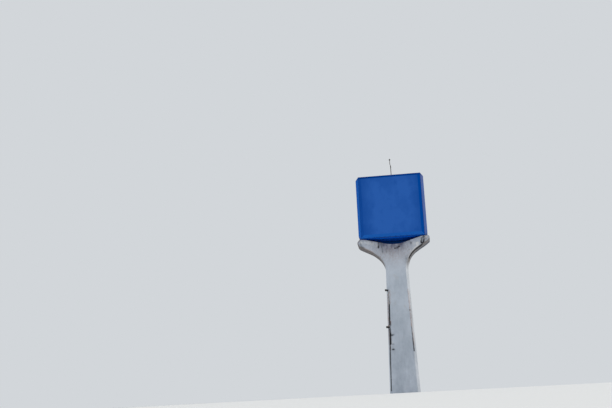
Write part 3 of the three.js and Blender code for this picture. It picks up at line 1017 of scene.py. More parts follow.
FRONT_MARKS = Marks(
    soot=(
        # Drips and patches under the saddle's edge, from left to right
        # Painted shade: the grey shadow round the left tip's rim.
        Trail(((-1230, 5436), (-1325, 5385), (-1338, 5310), (-1300, 5235)), (34, 34), (0.3, 0.45)),
        Trail(((-1232, 5330), (-1215, 5200), (-1140, 5130)), (30, 40), (0.3, 0.75)),
        Smear(-1033, 5246, 24, 24, 0.35),
        Smear(-830, 5300, 60, 80, 0.2),
        Smear(-714, 5216, 30, 26, 0.3),
        Trail(((-588, 5298), (-590, 5230)), (20, 20), (0.7, 0.5)),
        Trail(((-590, 5220), (-596, 5120)), (24, 30), (0.6, 1.2)),
        Trail(((-496, 5289), (-490, 5170)), (18, 18), (0.55, 0.4)),
        Trail(((-484, 5160), (-470, 5060), (-462, 4940)), (28, 30), (0.5, 0.5)),
        Smear(-440, 5250, 50, 40, 0.35),
        Trail(((-340, 5050), (-325, 4930)), (30, 34), (0.25, 0.35)),
        Trail(((-30, 5050), (16, 5045), (60, 5060), (110, 5100), (150, 5106)), (24, 26), (0.9, 0.8)),
        Smear(95, 5070, 20, 24, 0.6),
        Trail(((-199, 5010), (-196, 4800)), (34, 28), (0.16, 0.06)),
        Trail(((203, 5170), (203, 5060)), (18, 16), (0.25, 0.12)),
        Smear(560, 5200, 38, 54, 0.55),
        Smear(480, 4965, 16, 24, 0.5),
        # The ring of soot on the right tip and the line that follows the right arm's lower edge
        Trail(((1029, 5388), (976, 5385), (942, 5351)), (22, 22), (1.2, 0.8)),
        Trail(((942, 5351), (936, 5300), (915, 5225), (930, 5180)), (28, 30), (0.7, 1.3)),
        Trail(((1030, 5345), (1010, 5250), (988, 5185)), (26, 36), (0.6, 1.5)),
        Trail(((930, 5180), (979, 5170)), (28, 28), (1.4, 1.0)),
        Trail(((981, 5180), (868, 5104), (762, 5032), (664, 4956), (577, 4868)), (8, 8), (0.5, 0.5)),
        Trail(((577, 4868), (497, 4776), (436, 4690), (395, 4600), (366, 4540)), (12, 16), (0.7, 0.5)),
        # Painted shade on the right side near the neck, which the key light falls on.
        Smear(385, 4600, 70, 150, 0.4),
        Smear(405, 4490, 60, 150, 0.6),
        # The shaft's left arris, where the strip has bled, with a branch and a spot on the face
        Trail(((-330, 3300), (-336, 3080)), (12, 14), (0.35, 0.6)),
        Trail(((-338, 3060), (-350, 2860), (-360, 2600), (-366, 2480)), (14, 17), (1.1, 1.8)),
        Trail(((-362, 2440), (-352, 2320)), (26, 26), (1.1, 0.9)),
        Trail(((-368, 2280), (-372, 2060)), (18, 22), (0.8, 1.3)),
        Trail(((-372, 2060), (-384, 1800), (-388, 1680)), (24, 30), (1.6, 1.8)),
        Trail(((-400, 1600), (-404, 1500)), (16, 16), (0.9, 0.7)),
        Trail(((-372, 1985), (-310, 1975), (-262, 1985)), (34, 26), (1.5, 0.5)),
        Trail(((-409, 1450), (-425, 1230), (-438, 1000)), (20, 17), (0.9, 0.7)),
        Trail(((-440, 980), (-454, 420)), (14, 12), (0.6, 0.4)),
        Smear(-308, 1484, 44, 28, 1.4),
        Smear(-305, 1500, 60, 130, 0.22),
        Smear(-300, 1660, 36, 26, 0.6),
        # The right arris and its chamfer
        Smear(350, 2816, 26, 26, 0.9),
        Trail(((366, 2250), (381, 1800), (397, 1400)), (14, 18), (0.7, 1.3)),
        Smear(385, 2650, 34, 420, 0.27),
    ),
    rust=(
        Smear(0, 4900, 1000, 420, 0.2),
        Trail(((-1235, 5415), (-1318, 5370), (-1338, 5310), (-1290, 5240)), (26, 30), (0.35, 0.45)),
        Trail(((-1140, 5170), (-1028, 5098), (-906, 5032), (-786, 4956)), (20, 20), (0.35, 0.35)),
        Smear(-560, 4770, 26, 40, 0.5),
        Trail(((-199, 5010), (-196, 4800)), (34, 26), (0.14, 0.08)),
        Smear(120, 5090, 60, 60, 0.2),
        Smear(-18, 4790, 60, 110, 0.1),
        Smear(1110, 5390, 70, 44, 0.25),
        Smear(1078, 5330, 50, 36, 0.4),
        Smear(1048, 5270, 30, 34, 0.35),
        Trail(((-380, 3420), (-390, 3208), (-412, 2684), (-425, 2420)), (20, 24), (0.4, 0.5)),
        Trail(((-300, 3500), (-304, 3240), (-318, 3060)), (20, 18), (0.35, 0.25)),
        Trail(((-356, 2470), (-352, 2360)), (26, 26), (0.9, 0.6)),
        Smear(-415, 2300, 34, 60, 0.95),
        Smear(-312, 3500, 30, 70, 0.4),
        Trail(((-425, 2200), (-440, 1500)), (22, 18), (0.4, 0.2)),
        Trail(((-392, 2060), (-402, 1500)), (44, 30), (0.4, 0.3)),
        Trail(((330, 3560), (353, 2700), (366, 2250)), (12, 14), (0.4, 0.5)),
        Trail(((376, 3500), (378, 2811), (396, 2195), (412, 1600)), (20, 24), (0.15, 0.25)),
    ),
    pale=(
        Smear(945, 5402, 46, 20, 0.9),
        Smear(-1190, 5330, 60, 45, 0.6),
        Trail(((-1060, 5330), (-800, 5260), (-640, 5190)), (50, 60), (0.5, 0.3)),
        Smear(758, 5160, 50, 44, 1.0),
        Smear(803, 5190, 40, 40, 0.9),
        Trail(((800, 5110), (660, 5010), (590, 4930)), (26, 22), (0.9, 0.6)),
        Smear(640, 5190, 60, 70, 0.35),
        Smear(540, 4895, 26, 22, 0.8),
        Smear(489, 4968, 18, 20, 0.5),
        Smear(521, 4926, 22, 22, 0.8),
        Smear(900, 5300, 24, 34, 0.5),
        # Painted highlight along the top edge of the right tip.
        Smear(1115, 5388, 60, 34, 0.7),
        # Painted light down the sunlit right chamfer.
        Trail(((345, 4250), (372, 3733), (405, 2982), (430, 2000), (455, 1000)), (26, 26), (0.15, 0.0)),
        Smear(-335, 1730, 30, 40, 0.5),
    ),
)


@dataclass
class Weather:
    """What rain, soot and rust have left on the concrete, and how the face has worn.

    Each of the worn waves is a wave length, how deep it has worn the face, and the draw's seed.
    """

    front: Marks
    back: Marks
    worn_waves: tuple[tuple[float, float, int], ...] = ((450.0, 1.6, 3), (90.0, 0.5, 5))
    worn_level: float = 60.0
    mark_reach: float = 60.0
    # The film darkens the shaft evenly from this height down to its foot.
    foot_darkening_top: float = 3800.0
    foot_darkening: float = 0.19
    fullest: float = 1.6

    def wear(self, piece: Piece, levels: Pair) -> None:
        """Makes a cast face uneven, but keeps it true where it meets its neighbours.

        Formula: each point moves in along its normal by the sum of the worn waves, less near both levels.

        Args:
            piece: the concrete piece.
            levels: the heights of its lower and upper joint.
        """
        mesh = piece.data
        points = points_mm(mesh)
        normals = np.empty(len(points) * 3)
        mesh.vertex_normals.foreach_get("vector", normals)
        height = points[:, 2]
        free = np.clip(np.minimum(height - levels[0], levels[1] - height) / self.worn_level, 0, 1)
        depth = sum(deep * (1 + waves(points, length, seed)) for length, deep, seed in self.worn_waves)
        moved = points - normals.reshape(-1, 3) * (depth * free)[:, None]
        mesh.vertices.foreach_set("co", (moved * MM).ravel())
        mesh.update()

    def stain(self, piece: Piece, head: "SaddleHead | None" = None) -> None:
        """Writes the soot, rust and pale marks and the film to the piece's points, painted shade and light
        among them.

        Formula: a mark holds on its face and the chamfer beside it, and fades out within the marks' reach
        behind them. The film darkens evenly towards the foot, and on the head it lies along the rim as soot
        and the tank's painted shadow.

        Args:
            piece: the concrete piece.
            head: the saddle head, if the piece is its surface.
        """
        points = points_mm(piece.data)
        depth = SHAFT.half(np.minimum(points[:, 2], SHAFT.neck_z))[1]
        behind = depth - SHAFT.chamfer - np.abs(points[:, 1])
        near = 1 - np.clip(behind / self.mark_reach, 0, 1)
        values = {"film": self.foot_darkening * (1 - points[:, 2] / self.foot_darkening_top)}
        values |= {name: np.zeros(len(points)) for name in ("back_darkening", "algae_and_shade_share", "soot", "rust", "pale")}
        if head:
            values["film"] = head.rim_soot_and_shadow(points)
            values["back_darkening"] = head.back_darkening(points)
            values["algae_and_shade_share"] = head.algae_and_shade_share(points)
            values["soot"] = head.edge_soot(points)
        for name in ("soot", "rust", "pale"):
            for marks, side in ((self.front, points[:, 1] < 0), (self.back, points[:, 1] > 0)):
                for mark in getattr(marks, name):
                    values[name] = np.maximum(values[name], mark.on(points) * near * side)
        for name, value in values.items():
            hold(piece.data, name, np.clip(value, 0, self.fullest))


def chipped(rings: Array, steps: list[int], depth: float, seed: int, turns: int = 4) -> Array:
    """Rings of a cast body with chips knocked out of its arrises.

    Formula: the points of a rounded corner move towards their ring's middle by the depth, in full at the
    corner's middle and less at its ends, times how far two sets of waves together rise over the chips' level.
    Near the neck's joint there are none.

    Args:
        rings: (n, m, 3) points, as rounded gives them.
        steps: the number of steps on each edge, as it was given to rounded.
        depth: the deepest chip.
        seed: the draw's seed.
        turns: the number of steps round each corner.

    Returns:
        (n, m, 3) points.
    """
    corner = 1 - CORNER_LOSS * np.linspace(-1, 1, turns + 1) ** 2
    weight = np.concatenate([np.concatenate([corner, np.zeros(count - 1)]) for count in steps])
    points = rings.reshape(-1, 3)
    coarse, fine = CHIP_LENGTHS
    rise = waves(points, coarse, seed) + FINE_SHARE * waves(points, fine, seed + 1) - CHIP_LEVEL
    whole = np.clip(np.abs(points[:, 2] - SHAFT.neck_z) / JOINT_REACH, 0, 1)
    knocked = (np.clip(rise, 0, 1) * whole).reshape(rings.shape[:2])
    inward = unit(rings.mean(axis=1, keepdims=True) - rings)
    return rings + inward * (depth * weight * knocked)[..., None]


@dataclass
class Pylon:
    """The shaft: four cast lifts, one on the other."""

    material: Material
    weather: Weather
    lifts: tuple[str, ...] = ("pylon_foot", "pylon_lower_lift", "pylon_middle_lift", "pylon_upper_lift")
    arris: float = 14.0
    chip: float = 9.0
    chip_seed: int = 31
    cell: float = 18.0

    def build(self) -> None:
        """Makes a cast surface for each packed lift and lets it stand for that lift."""
        for name in self.lifts:
            low, high = box_mm(name)
            levels = np.linspace(low[2], high[2], round((high[2] - low[2]) / self.cell) + 1)
            corners = SHAFT.corners(levels)
            spans = np.linalg.norm(corners[0] - np.roll(corners[0], -1, axis=0), axis=1)
            steps = [max(2, round(span / self.cell)) for span in spans]
            rings = chipped(rounded(corners, self.arris, steps), steps, self.chip, self.chip_seed)
            piece = skin(f"{name}_cast", rings, Ends.CAPPED, self.material)
            self.weather.wear(piece, (low[2], high[2]))
            self.weather.stain(piece)
            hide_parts(name)


@dataclass(frozen=True)
class Arm:
    """One arm of the saddle: its seat, its round tip and the curve of its underside."""

    side: Side
    seat_in: float
    seat_out: float
    tip_radius: float
    valley_rise: float
    arm_pull: Pair
    neck_pull: Pair
    end_cut: float


@dataclass
class SaddleHead:
    """The uneven Y that carries the tank, made of sections from its left tip to its right one.

    At each station a section hangs between the upper outline, over the seats and the valley, and the lower
    one, round the tips, along the undersides and across the neck.
    """

    material: Material
    weather: Weather
    tank_bottom: float
    seat_drop: float = 10.0
    valley_drop: float = 245.0
    valley_half: float = 350.0
    tip_chamfer: float = 5.0
    chamfer_growth: float = 2.5
    tip_sweep: float = 0.75 * math.pi
    arris: float = 12.0
    chip: float = 7.0
    chip_seed: int = 37
    cell: float = 16.0
    section_height: float = 900.0
    cut_steps: int = 5
    tip_least: int = 6
    tip_extra: int = 4
    base_film: float = 0.03
    rim_strength: float = 0.75
    rim_depth: float = 280.0
    rim_middle: float = -120.0
    rim_half: float = 650.0
    rim_ends: float = 0.25
    back_darkening_rise: float = 2.4
    back_darkening_left: float = 0.33
    algae_and_shade_edge: float = 40.0
    algae_and_shade_blend: float = 90.0
    algae_and_shade_neck: Pair = (60.0, 300.0)
    algae_and_shade_least: float = 0.6
    washed_share: float = 0.25
    washed_half: float = 110.0
    soot_fullness: float = 1.6
    soot_depth: float = 215.0
    soot_blend: float = 90.0
    soot_wander: Pair = (30.0, 18.0)
    soot_waves: Pair = (47.0, 17.0)
    soot_film: float = 0.22
    film_reach: float = 300.0
    film_blend: float = 210.0
    soot_neck: Pair = (8.0, 90.0)
    soot_tip: float = 40.0
    soot_drop: float = 50.0
    drop_blend: float = 60.0
    drop_wander: float = 22.0
    drop_waves: float = 31.0
    soot_start: float = 25.0
    start_blend: float = 40.0
    drip_reach: float = 950.0
    drip_drop: Pair = (10.0, 150.0)
    drip_length: Pair = (60.0, 260.0)
    drip_half: Pair = (9.0, 18.0)
    drip_lean: float = 8.0
    drip_taper: float = 0.7
    drip_strengths: Pair = (0.9, 0.4)
    left: Arm = Arm(Side.LEFT, 1100, 1235, 110, 42, (1087, 373), (442, 524), 45)
    right: Arm = Arm(Side.RIGHT, 950, 1180, 52, 56, (821, 426), (413, 465), 14)

    def top_z(self, x: Array) -> Array:
        """The upper outline's height.

        Formula: a quadratic curve across the valley, a straight slope up to each seat, and the level seat.

        Args:
            x: (n,) places across.

        Returns:
            (n,) heights.
        """
        seat = self.tank_bottom - self.seat_drop
        valley = self.tank_bottom - self.valley_drop
        ends = (valley + self.left.valley_rise, valley + self.right.valley_rise)
        t = np.clip((x / self.valley_half + 1) / 2, 0, 1)
        curve = quadratic(t, ends[0], 2 * valley - sum(ends) / 2, ends[1])
        arm_x = [-self.left.seat_in, -self.valley_half, self.valley_half, self.right.seat_in]
        slope = np.interp(x, arm_x, [seat, ends[0], ends[1], seat])
        return np.where(np.abs(x) < self.valley_half, curve, slope)

    def rim_soot_and_shadow(self, points: Array) -> Array:
        """The soot that rain draws off the tank's underside over the saddle's edge, with the tank's painted
        shadow.

        Formula: a thin film, and the rim's strength times exp of minus the square of the drop below the upper
        outline over the rim's depth, times 1 in the valley and less at the tips.

        Args:
            points: (n, 3) places.

        Returns:
            (n,) shares.
        """
        drop = self.top_z(points[:, 0]) - points[:, 2]
        middle = np.exp(-(((points[:, 0] - self.rim_middle) / self.rim_half) ** 4))
        valley = self.rim_ends + (1 - self.rim_ends) * middle
        return self.base_film + self.rim_strength * np.exp(-((drop / self.rim_depth) ** 2)) * valley

    def back_darkening(self, points: Array) -> Array:
        """How much darker the underside is towards its back.

        Formula: it rises smoothly from halfway back to the back, in full on the right and less on the left.

        Args:
            points: (n, 3) places.

        Returns:
            (n,) shares.
        """
        back = np.clip(points[:, 1] / SHAFT.neck_depth * self.back_darkening_rise, 0, 1)
        side = SHAFT.neck_width / 2
        share = np.interp(points[:, 0], [-side, side], [self.back_darkening_left, 1])
        return share * back * back * (3 - 2 * back)

    def algae_and_shade_share(self, points: Array) -> Array:
        """How much of the algae and painted shade lies on what faces down.

        Formula: it starts behind the face's edge, thins out towards the neck, and is thinner halfway back
        under the right arm.

        Args:
            points: (n, 3) places.

        Returns:
            (n,) shares.
        """
        behind = points[:, 1] + SHAFT.neck_depth / 2
        start = np.clip((behind - self.algae_and_shade_edge) / self.algae_and_shade_blend, 0, 1)
        levels = [SHAFT.neck_z + rise for rise in self.algae_and_shade_neck]
        neck = np.interp(points[:, 2], levels, [self.algae_and_shade_least, 1])
        halfway = np.exp(-(((behind - 0.5 * SHAFT.neck_depth) / self.washed_half) ** 2))
        return start * neck * (1 - self.washed_share * (points[:, 0] > 0) * halfway)

    def edge_soot(self, points: Array) -> Array:
        """The black band under the front edge of the right arm.

        Formula: full to the soot's depth behind the face, between the tip and the neck, and strong enough
        there to hide the algae. Its inner edge wanders by two sine waves of the height and fades out within
        the blend, but a thin film reaches further in. It starts a little behind the face and under the seat.

        Args:
            points: (n, 3) places.

        Returns:
            (n,) shares, above 1 where the soot hides what other marks let through.
        """
        behind = points[:, 1] + SHAFT.neck_depth / 2
        height = points[:, 2]
        (much, little), (coarse, fine) = self.soot_wander, self.soot_waves
        wander = much * np.sin(height / coarse) + little * np.sin(height / fine + 1)
        core = np.clip((self.soot_depth + self.soot_blend + wander - behind) / self.soot_blend, 0, 1)
        film = np.clip((self.soot_depth + self.film_reach + 2 * wander - behind) / self.film_blend, 0, 1)
        depth = np.maximum(core, self.soot_film * film)
        near = [SHAFT.neck_width / 2 + reach for reach in self.soot_neck]
        far = [self.right.seat_in - self.soot_tip, self.right.seat_in + self.soot_tip]
        side = np.interp(points[:, 0], [*near, *far], [0, 1, 1, 0])
        edge = self.top_z(points[:, 0]) - self.soot_drop + self.drop_wander * np.sin(behind / self.drop_waves)
        under = np.clip((edge - height) / self.drop_blend, 0, 1)
        start = np.clip((behind - self.soot_start) / self.start_blend, 0, 1)
        return self.soot_fullness * depth * side * under * start

    def drips(self, seed: int, count: int) -> tuple[Trail, ...]:
        """Drips at random places under the upper outline, for the face that the photograph doesn't show.

        Args:
            seed: the draw's seed.
            count: the number of drips.

        Returns:
            The drips.
        """
        draw = np.random.default_rng(seed)
        marks = []
        for _ in range(count):
            x = draw.uniform(-self.drip_reach, self.drip_reach)
            top = float(self.top_z(np.array([x]))[0]) - draw.uniform(*self.drip_drop)
            low = top - draw.uniform(*self.drip_length)
            half = draw.uniform(*self.drip_half)
            foot = (x + draw.uniform(-self.drip_lean, self.drip_lean), low)
            marks.append(Trail(((x, top), foot), (half, self.drip_taper * half), self.drip_strengths))
        return tuple(marks)

    def tip(self, arm: Arm, count: int) -> tuple[Array, Array, Array, Array]:
        """The arm's round tip, from its middle up to the seat and down to the underside.

        Formula: both halves leave the middle of the arc and turn by half of its sweep, as x and z on a
        circle.

        Args:
            arm: the arm.
            count: the number of stations, the first at the middle.

        Returns:
            (count, 2) points of the upper half and of the lower half, and the chamfer of each.
        """
        share = np.linspace(0, 1, count)
        middle = math.pi / 2 - self.tip_sweep / 2
        centre = np.array([arm.side.value * arm.seat_out, self.tank_bottom - self.seat_drop - arm.tip_radius])
        halves = []
        for way in (1, -1):
            angle = middle + way * share * self.tip_sweep / 2
            arc = np.stack([arm.side.value * np.cos(angle), np.sin(angle)], axis=1)
            halves.append(centre + arm.tip_radius * arc)
        return *halves, arm.end_cut * (1 - share), arm.end_cut + (self.tip_chamfer - arm.end_cut) * share

    def underside(self, arm: Arm, start: Array, count: int) -> Array:
        """The arm's underside: a cubic curve from the tip's end to the neck's side.

        Args:
            arm: the arm.
            start: the tip's end, across and up.
            count: the number of stations.

        Returns:
            (count, 2) places across and up.
        """
        t = np.linspace(0, 1, count)[:, None]
        pulls = (arm.arm_pull, arm.neck_pull)
        out, near = (np.array([arm.side.value * x, self.tank_bottom - drop]) for x, drop in pulls)
        end = np.array([arm.side.value * SHAFT.neck_width / 2, SHAFT.neck_z])
        leaving = (1 - t) ** 3 * start + 3 * t * (1 - t) ** 2 * out
        return leaving + 3 * t**2 * (1 - t) * near + t**3 * end

    def half_outline(self, arm: Arm) -> tuple[Array, Array, Array, Array]:
        """The arm's outline from the tip's middle to the neck's side.

        Args:
            arm: the arm.

        Returns:
            The upper and the lower line, as (stations, 2) places across and up, and the chamfer of each.
        """
        turn = round(arm.tip_radius * self.tip_sweep / 2 / self.cell) + self.tip_extra
        turn = max(self.tip_least, turn)
        up, down, cut_up, cut_down = self.tip(arm, turn)
        reach = arm.seat_out - SHAFT.neck_width / 2
        count = round(reach / self.cell)
        x = arm.side.value * np.linspace(arm.seat_out, SHAFT.neck_width / 2, count)
        share = np.linspace(0, 1, count)
        top = np.concatenate([up, np.stack([x, self.top_z(x)], axis=1)[1:]])
        bottom = np.concatenate([down, self.underside(arm, down[-1], count)[1:]])
        cut_top = np.concatenate([cut_up, 0 * share[1:]])
        cut_low = self.tip_chamfer + (SHAFT.chamfer - self.tip_chamfer) * share**self.chamfer_growth
        return top, bottom, cut_top, np.concatenate([cut_down, cut_low[1:]])

    def outline(self) -> tuple[Array, Array, Array, Array]:
        """Both outlines and their insets over the whole head, as (stations, 2) places across and up.

        Returns:
            The upper and the lower outline, and both again moved inwards by the chamfer.
        """
        halves = [self.half_outline(arm) for arm in (self.left, self.right)]
        insets = []
        for top, bottom, cut_top, cut_low in halves:
            pair = []
            for line, other, cut in ((top, bottom, cut_top), (bottom, top, cut_low)):
                way = np.gradient(line, axis=0)
                inward = unit(np.stack([-way[:, 1], way[:, 0]], axis=1))
                towards = np.sign(np.einsum("ij,ij->i", inward[-2:-1], (other - line)[-2:-1]))
                pair.append(line + towards * inward * cut[:, None])
            pair[1][-1] = bottom[-1] + [-np.sign(bottom[-1][0]) * SHAFT.chamfer, 0]
            pair[0][0] = pair[1][0] = (pair[0][0] + pair[1][0]) / 2
            insets.append(pair)
        neck = np.linspace(-1, 1, round(SHAFT.neck_width / self.cell))[1:-1]
        x = neck * SHAFT.neck_width / 2
        over = np.stack([x, self.top_z(x)], axis=1)
        under = np.stack([x, np.full(len(x), SHAFT.neck_z)], axis=1)
        under_in = np.stack([neck * (SHAFT.neck_width / 2 - SHAFT.chamfer), under[:, 1]], axis=1)
        joined = [
            (halves[0][0], over, halves[1][0]),
            (halves[0][1], under, halves[1][1]),
            (insets[0][0], over, insets[1][0]),
            (insets[0][1], under_in, insets[1][1]),
        ]
        return tuple(np.concatenate([a, b, c[::-1]]) for a, b, c in joined)

    def build(self) -> None:
        """Makes the head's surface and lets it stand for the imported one."""
        top, bottom, top_in, bottom_in = self.outline()
        face = SHAFT.neck_depth / 2
        shoulder = face - SHAFT.chamfer
        loop = [
            (top_in, -face), (bottom_in, -face), (bottom, -shoulder), (bottom, shoulder),
            (bottom_in, face), (top_in, face), (top, shoulder), (top, -shoulder),
        ]
        edges = [np.stack([line[:, 0], np.full(len(line), y), line[:, 1]], axis=1) for line, y in loop]
        corners = np.stack(edges, axis=1)
        tall, deep = round(self.section_height / self.cell), round(2 * shoulder / self.cell)
        steps = [tall, self.cut_steps, deep, self.cut_steps] * 2
        radii = np.full(corners.shape[:2], self.arris)
        radii[:, 1:5] = np.clip((bottom[:, 1:] - SHAFT.neck_z) / 2, 0, self.arris)
        rings = chipped(rounded(corners, radii, steps), steps, self.chip, self.chip_seed)
        piece = skin("saddle_head_cast", rings, Ends.TIPPED, self.material)
        self.weather.wear(piece, (SHAFT.neck_z, self.tank_bottom))
        self.weather.stain(piece, self)
        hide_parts("saddle_head")


# Tank


# A screw head's profile, from its washer's foot up, in shares of its radius and its height
SCREW_SHAPE = np.array([(1.45, 0.0), (1.45, 0.25), (1.0, 0.3), (0.95, 0.7), (0.6, 0.95)])


def screw_pattern(radius: float, height: float, sides: int = 10) -> Array:
    """Rings of one domed screw head with its washer.

    Args:
        radius: the head's radius.
        height: the height that its dome would reach.
        sides: the number of points in a ring.

    Returns:
        (rows, sides, 3) points, the foot first.
    """
    return turned_rings(SCREW_SHAPE * [radius, height], sides)


@dataclass(frozen=True)
class Bevels:
    """How far the chalk has got on each of a panel's four bevels, from 0 to 1, as seen from outside."""

    left: float
    right: float
    top: float
    bottom: float


@dataclass
class TankPanel:
    """One dished panel: a sheet with a bevelled edge all round, and the screws that hold it.

    The rings run from the rim up the bevel, over the fold and in to the middle of the flat.
    """

    node: str
    material: Material
    screw_material: Material
    faded: float
    bevels: Bevels
    sheet: float = 6.0
    fold: float = 9.0
    dish: float = 7.0
    cell: float = 30.0
    climb_rings: int = 8
    fold_rings: int = 4
    screw_radius: float = 7.0
    screw_rise: float = 0.8
    screw_pitch: float = 190.0
    screw_inset: float = 20.0
    screw_end: float = 60.0
    grime: float = 0.35
    grime_reach: float = 0.02
    corner: float = 6.0
    slow_length: float = 700.0
    slow_depth: float = 2.0
    slow_seed: int = 11
    upright_loss: float = 0.45
    level_loss: float = 0.15

    def __post_init__(self) -> None:
        """Reads the panel's place from the frame. Its proud side is the one away from the tank's middle."""
        low, high = box_mm(self.node)
        size = high - low
        middle = (low + high) / 2
        tank = sum(box_mm("tank_floor")) / 2
        thin = int(np.argmin(size))
        self.outward = np.zeros(3)
        self.outward[thin] = math.copysign(1, middle[thin] - tank[thin])
        self.across = np.cross(Z, self.outward)
        self.proud = size[thin]
        self.half_width = np.abs(size @ self.across) / 2
        self.half_height = size[2] / 2
        self.foot = middle - self.outward * self.proud / 2

    def place(self, u: Array, v: Array, out: Array) -> Array:
        """Points at distances u across, v up and out of the panel's rim plane."""
        return self.foot + u[..., None] * self.across + v[..., None] * Z + out[..., None] * self.outward

    def rings(self) -> Array:
        """The sheet's outer side.

        Formula: each ring is an oblong set in from the rim by its inset, at a height out of the rim plane
        that equals the inset up to the fold, follows a quadratic curve over it and then stays level.

        Returns:
            (rows, columns, 3) points.
        """
        climb = np.linspace(0, self.proud - self.fold, self.climb_rings)
        t = np.linspace(0, 1, self.fold_rings + 1)[1:]
        bend = self.proud - self.fold + 2 * self.fold * t * (1 - t) + 2 * self.fold * t**2
        rise = self.proud - self.fold * (1 - t) ** 2
        # The last ring stays 1 mm short of the middle, so that no two of its points meet.
        short = min(self.half_width, self.half_height)
        rest = np.linspace(bend[-1], short - 1, round((short - bend[-1]) / self.cell) + 1)[1:]
        inset = np.concatenate([climb, bend, rest])
        out = np.concatenate([climb, rise, np.full(len(rest), self.proud)])
        u = SQUARE[:, 0] * (self.half_width - inset)[:, None]
        v = SQUARE[:, 1] * (self.half_height - inset)[:, None]
        corners = self.place(u, v, out[:, None] + 0 * u)
        steps = [round(2 * half / self.cell) for half in (self.half_width, self.half_height) * 2]
        return rounded(corners, self.corner, steps, 3)

    def haze_and_bevel_light(self, u: Array, v: Array) -> Array:
        """How much chalk lies on each point; the bevels' values also stand for painted light and shade.

        Formula: on the flat, the panel's fading times 1 less the upright loss times |u|^3 and the level loss
        times |v|^3. Past a fold, the value of its bevel, or of the one past whose fold a point lies furthest.

        Args:
            u: places across, -1 and 1 at the upright folds.
            v: places up, -1 and 1 at the level folds.

        Returns:
            The chalk, from 0 to 1.
        """
        flat = self.faded * (1 - self.upright_loss * np.abs(u) ** 3 - self.level_loss * np.abs(v) ** 3)
        upright = np.where(u < 0, self.bevels.left, self.bevels.right)
        level = np.where(v < 0, self.bevels.bottom, self.bevels.top)
        past_u = (np.abs(u) - 1) * (self.half_width - self.proud)
        past_v = (np.abs(v) - 1) * (self.half_height - self.proud)
        bevel = np.where(past_u > past_v, upright, level)
        return np.where(np.maximum(past_u, past_v) > 0, bevel, flat)

    def build(self) -> None:
        """Makes the sheet, dishes it, gives it its thickness and its chalk, and adds the screws.

        Formula: the flat is drawn in by (1 - u^2)(1 - v^2) times the dish plus slow waves, as a thin sheet is
        between its folds. u and v run from -1 to 1 between them.
        """
        rings = self.rings()
        seen = rings - self.foot
        u = seen @ self.across / (self.half_width - self.proud)
        v = seen @ Z / (self.half_height - self.proud)
        flat = np.clip(1 - u**2, 0, 1) * np.clip(1 - v**2, 0, 1)
        slow = waves(rings.reshape(-1, 3), self.slow_length, self.slow_seed).reshape(flat.shape)
        rings = rings - self.outward * (flat * (self.dish + self.slow_depth * slow))[..., None]
        piece = skin(f"{self.node}_sheet", rings, Ends.DOMED, self.material)
        grime = self.grime * np.clip(v - 1, 0, self.grime_reach) / self.grime_reach
        for name, values in (("chalk", self.haze_and_bevel_light(u, v)), ("grime", grime)):
            hold(piece.data, name, np.concatenate([values.ravel(), values[-1:, 0]]))
        give_wall(piece, self.sheet)
        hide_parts(self.node)
        self.add_screws()

    def add_screws(self) -> None:
        """Sets screws on the bevel, near the rim and at an equal pitch on each side."""
        inset = self.screw_inset
        reach = np.array([self.half_width, self.half_height]) - inset
        feet, ways = [], []
        for axis, other in ((0, 1), (1, 0)):
            end = reach[axis] - self.screw_end
            count = round(2 * end / self.screw_pitch) + 1
            along = np.linspace(-end, end, count)
            for sign in (-1, 1):
                spot = np.zeros((count, 2))
                spot[:, axis] = along
                spot[:, other] = sign * reach[other]
                feet.append(self.place(spot[:, 0], spot[:, 1], np.full(count, inset)))
                edge = self.across if other == 0 else Z
                ways.append(np.tile(self.outward + sign * edge, (count, 1)))
        pattern = screw_pattern(self.screw_radius, self.screw_radius * self.screw_rise)
        heads = copies(
            f"{self.node}_screws", pattern, np.concatenate(feet), np.concatenate(ways), self.screw_material
        )


@dataclass
class Tank:
    """The tank: its panels, and the frame, floor, roof and seats that show between them."""

    front: Material
    side: Material
    frame: Material
    roof: Material
    under: Material
    rubber: Material
    floor_rim: float = 3.0

    def build(self) -> None:
        """Makes the four panels and the floor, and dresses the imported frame, roof and seat pads."""
        # The front and back bevels' chalk also paints light and shade: the right bevel, which the key light
        # falls on, stays deep, the left one is paler, and the lower one is pale as painted light from below.
        front_bevels_painted_light = Bevels(left=0.3, right=0.0, top=0.0, bottom=0.75)
        for name in ("front", "back"):
            TankPanel(f"{name}_panel", self.front, self.frame, faded=1.0, bevels=front_bevels_painted_light).build()
        shaded = Bevels(left=0.1, right=0.0, top=0.1, bottom=0.3)
        TankPanel("left_panel", self.side, self.side, faded=0.35, bevels=shaded).build()
        sunny = Bevels(left=1.0, right=0.8, top=0.7, bottom=0.9)
        TankPanel("right_panel", self.side, self.side, faded=0.9, bevels=sunny).build()
        for name in frame["nodes"]:
            if name.endswith(("_post", "_rail")):
                dress(name, self.frame)
            elif name.endswith("_seat_pad"):
                dress(name, self.rubber)
        rings = plate(*box_mm("tank_floor"), self.floor_rim)
        floor = skin("tank_floor_sheet", rings, Ends.CAPPED, self.under)
        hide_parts("tank_floor")
        dress("tank_roof", self.roof)


